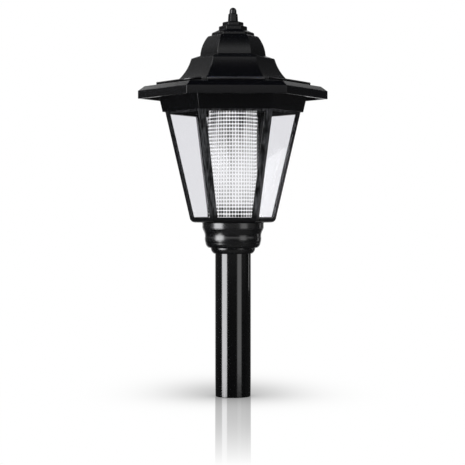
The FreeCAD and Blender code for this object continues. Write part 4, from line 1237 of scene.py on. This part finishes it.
@dataclass
class Panels:
    """Six solar panels let into the brim."""

    length: float = 38.0
    width: float = 13.49
    thickness: float = 1.8
    recess: float = 1.0
    bevel: float = 0.4
    gap: float = 0.1
    flat: float = 43.895
    height: float = 217.915
    slope: float = 7.99
    cutter_top: float = 5.0

    def slab(self, length: float, width: float, low: float, high: float) -> bmesh.types.BMesh:
        """Box on the front segment of the brim.

        Args:
            length: Size along the brim's edge.
            width: Size up the slope.
            low: Underside above the brim's surface.
            high: Top above the brim's surface.

        Returns:
            The box as an open bmesh.
        """
        work = bmesh.new()
        bmesh.ops.create_cube(work, size=1.0)
        for vert in work.verts:
            vert.co.x *= length * MM
            vert.co.y *= width * MM
            vert.co.z = (high if vert.co.z > 0 else low) * MM
        return work

    def ringed(self, work: bmesh.types.BMesh, name: str, shop: Shop, material: Material) -> Object:
        """Lay a box on the brim and repeat it round the axis.

        Args:
            work: Box, which ends with this.
            name: Name of the object.
            shop: Shared trees and materials.
            material: Finish of the object.

        Returns:
            One object with the six boxes.
        """
        move = Matrix.Translation((0.0, -self.flat * MM, self.height * MM))
        work.transform(move @ Matrix.Rotation(math.radians(self.slope), 4, "X"))
        thing = poured(work, name)
        shop.around.attach(thing, count=SIDES, material=material)
        return settle(thing)

    def seats(self, shop: Shop) -> Object:
        """Cutters for the six recesses.

        Args:
            shop: Shared trees and materials.

        Returns:
            One object with six boxes.
        """
        box = self.slab(self.length + 2 * self.gap, self.width + 2 * self.gap, -self.recess, self.cutter_top)
        return self.ringed(box, "panel_seats", shop, shop.black)

    def build(self, shop: Shop) -> None:
        """Build one panel with its map and repeat it round the brim.

        Args:
            shop: Shared trees and materials.
        """
        work = self.slab(self.length, self.width, -self.recess, self.thickness - self.recess)
        rim = [edge for edge in work.edges if all(v.co.z > 0 for v in edge.verts)]
        bmesh.ops.bevel(work, geom=rim, offset=self.bevel * MM, segments=3, profile=0.6, affect="EDGES")
        layer = work.loops.layers.uv.new("panel_map")
        for face in work.faces:
            face.smooth = True
            for loop in face.loops:
                loop[layer].uv = (loop.vert.co.x / MM, loop.vert.co.y / MM)
        panels = self.ringed(work, "solar_panels", shop, SolarGlass().material())
        nodes = ("solar_panel_%d" % (side + 1) for side in range(SIDES))
        dress(panels, Body.CAP, Slot.SOLAR_GLASS, *nodes)


@dataclass
class Roof:
    """Brim, concave skirt, dome, steps and finial, in heights above the cap's seat."""

    seat: float = 209.0
    wall: float = 2.0
    brim: tuple[Point, ...] = ((57.29, -2.2), (57.29, 3.3), (53.26, 6.6))
    ogee_foot: Point = (34.03, 9.3)
    ogee_lip: float = 0.7
    ogee_top: Point = (25.46, 24.9)
    ogee_curve: float = 31.6
    shoulder: Point = (25.03, 25.8)
    dome_foot: Point = (19.83, 27.7)
    dome_top: Point = (15.55, 40.8)
    dome_curve: float = 26.0
    dome_cap: Point = (14.75, 41.45)
    steps: tuple = ((12.9, 41.85, 1.0, 1.3), (8.6, 45.75, 1.9, 0.7), (6.4, 48.75, 1.8, 0.7))
    finial: tuple[Point, ...] = ((3.15, 51.65), (2.85, 56.75), (2.4, 57.2))
    core: float = 0.96
    tip_radius: float = 2.55
    tip_edge: float = 2.4
    tip_rise: float = 2.2
    tip_round: float = 2.0
    rib: Point = (53.69, 52.09)
    rib_step: float = 0.6
    gasket_top: float = 3.2
    brim_inside: float = 2.35

    def section(self) -> list[Point]:
        """Closed section of the roof shell.

        Returns:
            Its corners, in the frame's heights.
        """
        foot = (self.ogee_foot[0], self.ogee_foot[1] + self.ogee_lip)
        inside = self.brim[0][0] - self.wall
        points = [(inside, self.brim[0][1]), *self.brim, self.ogee_foot, foot]
        points += arc(foot, self.ogee_top, self.ogee_curve, Turn.RIGHT, 14)
        points += [self.shoulder, self.dome_foot]
        points += arc(self.dome_foot, self.dome_top, self.dome_curve, Turn.LEFT, 12)
        points += [self.dome_cap]
        for flat, low, rise, round_in in self.steps:
            side = (flat, low + rise)
            points += [(flat, low), side]
            points += arc(side, (flat - round_in, low + rise + round_in), round_in * 1.05, Turn.LEFT, 4)
        points += [*self.finial, (self.core, self.finial[-1][1]), (self.core, self.dome_top[1] - self.wall)]
        inner_foot = (self.dome_foot[0] - self.wall, self.dome_foot[1] - self.wall)
        inner_top = (self.dome_top[0] - self.wall, self.dome_top[1] - self.wall)
        points += [inner_top]
        points += arc(inner_top, inner_foot, self.dome_curve - self.wall, Turn.RIGHT, 6)
        skirt_top = (self.ogee_top[0] - self.wall, self.ogee_top[1] - self.wall / 2)
        skirt_foot = (foot[0] - self.wall, foot[1] - self.wall / 2)
        points += [skirt_top]
        points += arc(skirt_top, skirt_foot, self.ogee_curve + self.wall, Turn.LEFT, 8)
        slope = (self.ogee_foot[1] - self.brim[2][1]) / (self.brim[2][0] - self.ogee_foot[0])
        rib_out, rib_in = self.rib
        under = self.brim[2][1] - self.wall + slope * (self.brim[2][0] - rib_in)
        points += [(skirt_foot[0], self.ogee_foot[1] - self.wall), (rib_in, under), (rib_in, self.gasket_top)]
        points += [(rib_out, self.gasket_top), (rib_out, self.gasket_top + self.rib_step), (inside, self.brim_inside)]
        return [(x, z + self.seat) for x, z in points]

    def tip_section(self) -> list[Point]:
        """Closed section of the finial's round tip.

        Returns:
            Its corners, in the frame's heights.
        """
        low = self.finial[-1][1]
        edge = (self.tip_edge, low + self.tip_rise)
        top = (0.0, edge[1] + self.tip_round)
        curve = (self.tip_edge**2 + self.tip_round**2) / (2 * self.tip_round)
        points = [(0.0, low - 1.5), (1.6, low - 1.5), (1.6, low - 0.45), (self.tip_radius, low), edge]
        points += arc(edge, top, curve, Turn.LEFT, 10)
        return [(max(x, 0.004), z + self.seat) for x, z in points]

    def build(self, shop: Shop) -> None:
        """Build the shell with its panel seats, and the finial's tip.

        Args:
            shop: Shared trees and materials.
        """
        shell = shop.swept("lantern_roof", self.section(), shop.black, 0.36, corner_round=0.55)
        carve(shell, Panels().seats(shop))
        for face in shell.data.polygons:
            face.use_smooth = True
        dress(shell, Body.CAP, Slot.BLACK_PLASTIC, "roof_shell")
        tip = shop.swept("finial_tip", self.tip_section(), shop.black, 0.1, 1, 48)
        dress(tip, Body.CAP, Slot.BLACK_PLASTIC)


@dataclass
class Screw:
    """Countersunk cross-recess screw, repeated on a pitch circle."""

    name: str
    node: str
    body: Body
    circle: float
    top: float
    angle: float
    count: int
    upward: bool = True
    shank: float = 1.1
    head: float = 2.1
    head_height: float = 1.1
    length: float = 7.0
    recess: float = 0.7
    recess_width: float = 0.6

    def build(self, shop: Shop) -> None:
        """Turn one screw, cut its cross and repeat it.

        Args:
            shop: Shared trees and materials.
        """
        section = [
            (0.01, -self.length), (self.shank - 0.5, -self.length), (self.shank, 0.8 - self.length),
            (self.shank, -self.head_height), (self.head, -0.12), (self.head, 0.0), (0.01, 0.0)]
        screw = shop.swept(self.name, section, shop.steel, 0.05, 1, 28)
        carve(screw, self.cross())
        angle = math.radians(self.angle)
        centre = Vector((math.cos(angle) * self.circle, math.sin(angle) * self.circle, self.top)) * MM
        flip = Matrix.Rotation(0.0 if self.upward else math.pi, 4, "X")
        screw.data.transform(Matrix.Translation(centre) @ flip)
        shop.around.attach(screw, count=self.count, material=shop.steel)
        settle(screw)
        dress(screw, self.body, Slot.PLATED_STEEL, self.node)

    def cross(self) -> Object:
        """Cutter of the cross recess.

        Returns:
            Two crossed bars.
        """
        work = bmesh.new()
        reach, half = self.head * 0.6 * MM, self.recess_width / 2 * MM
        plan = [(half, reach), (-half, reach), (-half, half)]
        for _ in range(3):
            plan += [(-y, x) for x, y in plan[-3:]]
        low = [work.verts.new((x * 0.85, y * 0.85, -self.recess * MM)) for x, y in plan]
        high = [work.verts.new((x, y, 0.5 * MM)) for x, y in plan]
        work.faces.new(low)
        work.faces.new(high)
        for index in range(len(plan)):
            work.faces.new((low[index - 1], low[index], high[index], high[index - 1]))
        bmesh.ops.recalc_face_normals(work, faces=work.faces)
        return poured(work, "cross")


@dataclass
class CapUnderside:
    """What closes the cap from below, and what it holds."""

    seat: float = 209.0
    led_radius: float = 2.5
    led_flange: float = 2.9
    led_length: float = 7.6
    plate: float = 2.0

    def light_section(self) -> list[Point]:
        """Closed section of the light's resin body.

        Returns:
            Its corners, in the frame's heights.
        """
        foot = self.plate - self.led_length
        points = [(0.01, foot)]
        points += arc((0.0, foot), (self.led_radius, foot + self.led_radius), self.led_radius, Turn.LEFT, 10)
        points += [(self.led_radius, self.plate), (self.led_flange, self.plate)]
        points += [(self.led_flange, self.plate + 1.0), (0.01, self.plate + 1.0)]
        return [(x, z + self.seat) for x, z in points]

    def build(self, shop: Shop) -> None:
        """Build the underplate, the door, the light and what they carry.

        Args:
            shop: Shared trees and materials.
        """
        Softened("underplate", "lantern_underplate", 0.2).build(Body.CAP, Slot.BLACK_PLASTIC, shop.black)
        Softened("battery_door", "battery_cover", 0.15).build(Body.CAP, Slot.BLACK_PLASTIC, shop.black)
        bulb = shop.swept("light_bulb", self.light_section(), LampResin().material(), 0.1, 1, 40)
        dress(bulb, Body.CAP, Slot.LAMP_RESIN, "led")
        Softened("switch_slider", "switch_knob", 0.12).build(Body.SWITCH, Slot.SWITCH_CASE, KNOB.material())
        coat(RUBBER.material(), "gasket")
        coat(CELL_SLEEVE.material(), "battery")
        coat(Laminate().material(), "circuit_board")
        coat(SWITCH_CASE.material(), "switch_body")
        coat(WIRE_SLEEVE.material(), "panel_wiring", "battery_leads")
        coat(shop.steel, "contact_plate", "contact_spring", "door_screw", "board_screws")


# -------------------------------------------------------------------- studio


def light_only(card: Object, s: Surface, glow: Term) -> None:
    """Let a card show in reflections alone; the floor's mirror looks through it.

    Args:
        card: The card.
        s: Its surface.
        glow: Its light.
    """
    card.data.materials.append(s.done(s.mixed(s.ray("Singular"), glow, s.clear())))
    s.material.cycles.emission_sampling = "NONE"
    for kind in ("camera", "diffuse", "transmission", "shadow"):
        setattr(card, "visible_" + kind, False)


@dataclass
class Card:
    """Pale card that only shows in reflections; azimuth 0 is the camera's side."""

    name: str
    azimuth: float
    width: float
    low: float
    high: float
    strength: float
    tint: tuple = WHITE
    soft: float = 0.12
    distance: float = 1.1
    middle: float = 0.16
    columns: int = 8

    def build(self) -> None:
        """Stand the card round the object."""
        points, row = [], self.columns + 1
        for elevation in (self.low, self.high):
            z = self.middle + math.tan(math.radians(elevation)) * self.distance
            for column in range(row):
                turn = math.radians(self.azimuth + self.width * (column / self.columns - 0.5))
                points.append((math.sin(turn) * self.distance, -math.cos(turn) * self.distance, z))
        faces = [(column, column + 1, column + 1 + row, column + row) for column in range(self.columns)]
        card = plotted(self.name, points, [], faces)
        layer = card.data.uv_layers.new(name="card_map")
        for loop in card.data.loops:
            layer.data[loop.index].uv = (loop.vertex_index % row / self.columns, 0.0)
        s = Surface(self.name)
        across = s.split(s.add("ShaderNodeUVMap", uv_map="card_map"))[0]
        level = s.ranged(0.5 - abs(across - 0.5), 0.0, 1.0, 0.0, self.soft) * self.strength
        light_only(card, s, s.glow(self.tint, level))


@dataclass
class PaneCard:
    """White board close to the right-hand side, whose corner shows in the pane there."""

    distance: float = 250.0
    toward: Point = (0.831, 0.556)
    outline: Stops = ((-40.0, 62.0), (-40.0, 114.5), (-29.4, 129.7), (-20.1, 143.0),
                      (-15.9, 136.5), (-7.0, 122.0), (-7.0, 62.0))
    strength: float = 1.05

    def build(self) -> None:
        """Stand the board beside the object."""
        x, y = self.toward
        points = [((x * self.distance - y * along) * MM, (y * self.distance + x * along) * MM, high * MM)
                  for along, high in self.outline]
        s = Surface("pane_card")
        light_only(plotted("pane_card", points, [], [tuple(range(len(points)))]), s, s.glow(WHITE, self.strength))


@dataclass
class Studio:
    """Floor, lights, sky and camera; lengths in metres, sky by height of a direction."""

    camera_azimuth: float = -2.4
    camera_distance: float = 1.114
    camera_height: float = 0.1323
    focal_pixels: float = 1600.0
    frame_pixels: float = 465.0
    axis_column: float = 233.0
    horizon_row: float = 206.0
    floor_reach: float = 6.0
    mirror_share: float = 0.5
    mirror_fall: float = 2.3
    mirror_reach: float = 0.3
    shadow_size: tuple = (0.047, 0.052, 0.083)
    shadow_shift: float = 0.012
    shadow_depth: float = 0.46
    foot_radius: float = 0.0125
    foot_reach: float = 0.004
    foot_depth: float = 0.2
    lamp_size: float = 0.7
    lamp_power: float = 14.0
    lamp_place: tuple = (0.0, -0.28, 1.5)
    lamp_tilt: float = -10.0
    plain_level: float = 0.55
    front: Stops = ((-0.5, 0.12), (-0.3, 0.05), (-0.13, 0.025), (-0.05, 0.035), (0.05, 0.32),
                    (0.42, 0.82), (0.55, 0.5), (0.72, 0.12), (0.88, 0.02), (1.0, 0.01))
    left: Stops = ((-0.15, 0.03), (0.05, 0.1), (0.35, 0.27), (0.5, 0.24), (0.8, 0.08), (1.0, 0.02))
    right: Stops = ((-0.15, 0.04), (0.05, 0.04), (0.4, 0.06), (0.8, 0.02), (1.0, 0.01))
    cards: tuple = (
        Card("left_card", -59.0, 40.0, -15.0, 24.0, 6.6, (0.98, 0.98, 1.0, 1)),
        Card("left_high_card", -59.0, 34.0, 24.0, 58.0, 5.0),
        Card("left_low_card", -59.0, 14.0, -30.0, -15.0, 4.0),
        Card("right_card", 38.7, 35.0, -14.0, 20.0, 1.2, soft=0.2),
        Card("rear_left_card", -165.0, 18.0, 16.0, 28.0, 1.7),
        Card("rear_right_card", 165.0, 18.0, 16.0, 28.0, 0.7),
        PaneCard())

    def floor(self) -> None:
        """Pale floor with a painted shadow, which mirrors the pole a little."""
        reach = self.floor_reach
        corners = [(-reach, -reach, 0), (reach, -reach, 0), (reach, reach, 0), (-reach, reach, 0)]
        floor = plotted("studio_floor", corners, [], [(0, 1, 2, 3)])
        s = Surface("studio_floor")
        away = s.add("ShaderNodeVectorMath", {0: s.place}, "Value", operation="LENGTH")
        shade = self.shadow(s, away)
        fade = s.math("MAXIMUM", 1.0 - (away / self.mirror_reach) ** self.mirror_fall, 0.0) * self.mirror_share
        facing = s.add("ShaderNodeLayerWeight", {"Blend": 0.5}, "Facing")
        fade = fade * s.ranged(facing, 0.15, 1.0, 0.4, 0.84)
        white = s.glow(WHITE, shade)
        pale = s.add("ShaderNodeBsdfDiffuse", {"Color": (0.8, 0.8, 0.8, 1)})
        seen = s.mixed(fade, white, s.gloss(s.vector(shade, shade, shade), 0.0))
        shown = s.mixed(s.ray("Transmission"), s.mixed(s.ray("Camera"), pale, seen), white)
        floor.data.materials.append(s.done(s.mixed(s.back(), shown, s.clear())))
        floor.visible_glossy = False

    def shadow(self, s: Surface, away: Term) -> Term:
        """Painted soft shadow of the head and the pole on the floor.

        Args:
            s: Surface that gets the nodes.
            away: Distance from the pole's axis.

        Returns:
            Share of light that is left.
        """
        x, y, _ = s.split(s.place)
        wide, ahead, behind = self.shadow_size
        across, back = x / wide, y - self.shadow_shift
        deep = back / ((back > 0.0) * (behind - ahead) + ahead)
        head = s.math("EXPONENT", (across * across + deep * deep) * -1.0) * self.shadow_depth
        gap = s.math("MAXIMUM", away - self.foot_radius, 0.0)
        return (1.0 - head) * (1.0 - s.math("EXPONENT", gap / -self.foot_reach) * self.foot_depth)

    def sky(self) -> None:
        """White behind the object, plain light on it, a dim room in its gloss."""
        world = bpy.data.worlds.new("studio")
        bpy.context.scene.world = world
        world.use_nodes = True
        world.cycles.sampling_method = "NONE"
        n = Nodes(world.node_tree)
        x, y, z = n.split(n.add("ShaderNodeTexCoord", out="Generated"))
        ahead = n.step(y, 0.84, 0.93) * n.step(z, 0.19, 0.12)
        front, left, right = (n.ramp(z, stops, -1.0, 1.0) for stops in (self.front, self.left, self.right))
        rear = n.mix(n.step(x, -0.25, 0.25), left, right) * (n.step(abs(x), 0.1, 0.4) * 0.9 + 0.1)
        room = n.math("MAXIMUM", ahead, n.mix(n.step(y, -0.25, 0.15), front, rear))
        shown = n.math("MAXIMUM", n.ray("Camera"), n.ray("Transmission"))
        shown = n.math("MAXIMUM", shown, n.ray("Singular"))
        level = n.mix(shown, n.mix(n.ray("Glossy"), self.plain_level, room), 1.0)
        n.node("ShaderNodeOutputWorld", {"Surface": n.add("ShaderNodeBackground", {"Color": WHITE, "Strength": level})})

    def lamps(self) -> None:
        """Soft light from above, and the cards that draw the highlights."""
        lamp = bpy.data.lights.new("overhead", "AREA")
        lamp.shape = "DISK"
        lamp.size = self.lamp_size
        lamp.energy = self.lamp_power
        over = bpy.data.objects.new("overhead", lamp)
        over.location = self.lamp_place
        over.rotation_euler = (math.radians(self.lamp_tilt), 0.0, 0.0)
        over.visible_glossy = False
        over.visible_camera = False
        bpy.context.scene.collection.objects.link(over)
        for card in self.cards:
            card.build()

    def camera(self) -> None:
        """Camera at the photograph's place, level, with its frame shifted."""
        data = bpy.data.cameras.new("photo_camera")
        data.sensor_width = 36.0
        data.lens = self.focal_pixels / self.frame_pixels * data.sensor_width
        middle = self.frame_pixels / 2
        data.shift_x = (middle - self.axis_column) / self.frame_pixels
        data.shift_y = (self.horizon_row - middle) / self.frame_pixels
        data.clip_start = 0.05
        data.clip_end = 50.0
        camera = bpy.data.objects.new("photo_camera", data)
        turn = math.radians(self.camera_azimuth)
        camera.location = (
            math.sin(turn) * self.camera_distance, -math.cos(turn) * self.camera_distance, self.camera_height)
        camera.rotation_euler = (math.radians(90), 0.0, turn)
        bpy.context.scene.collection.objects.link(camera)
        bpy.context.scene.camera = camera

    def build(self) -> None:
        """Set up the studio."""
        self.camera()
        self.floor()
        self.sky()
        self.lamps()
        bpy.context.scene.view_settings.view_transform = "Standard"


def main() -> None:
    """Build the studio and every sub-assembly in order."""
    logging.basicConfig(level=logging.INFO, format="%(name)s %(message)s")
    Studio().build()
    shop = Shop()
    for part in (
        Pole(), Neck(), Cage(), Diffuser(), Roof(), Panels(), CapUnderside(),
        Screw("neck_screw_set", "neck_screws", Body.ROOT, 8.0, 122.8, 0.0, 3),
        Screw("collar_screw_set", "collar_screws", Body.ROOT, 43.5, 209.0, 0.0, 6),
        Screw("base_screw_set", "base_screws", Body.CAP, 27.5, 209.0, 90.0, 3, False),
    ):
        part.build(shop)


if __name__ == "__main__":
    main()
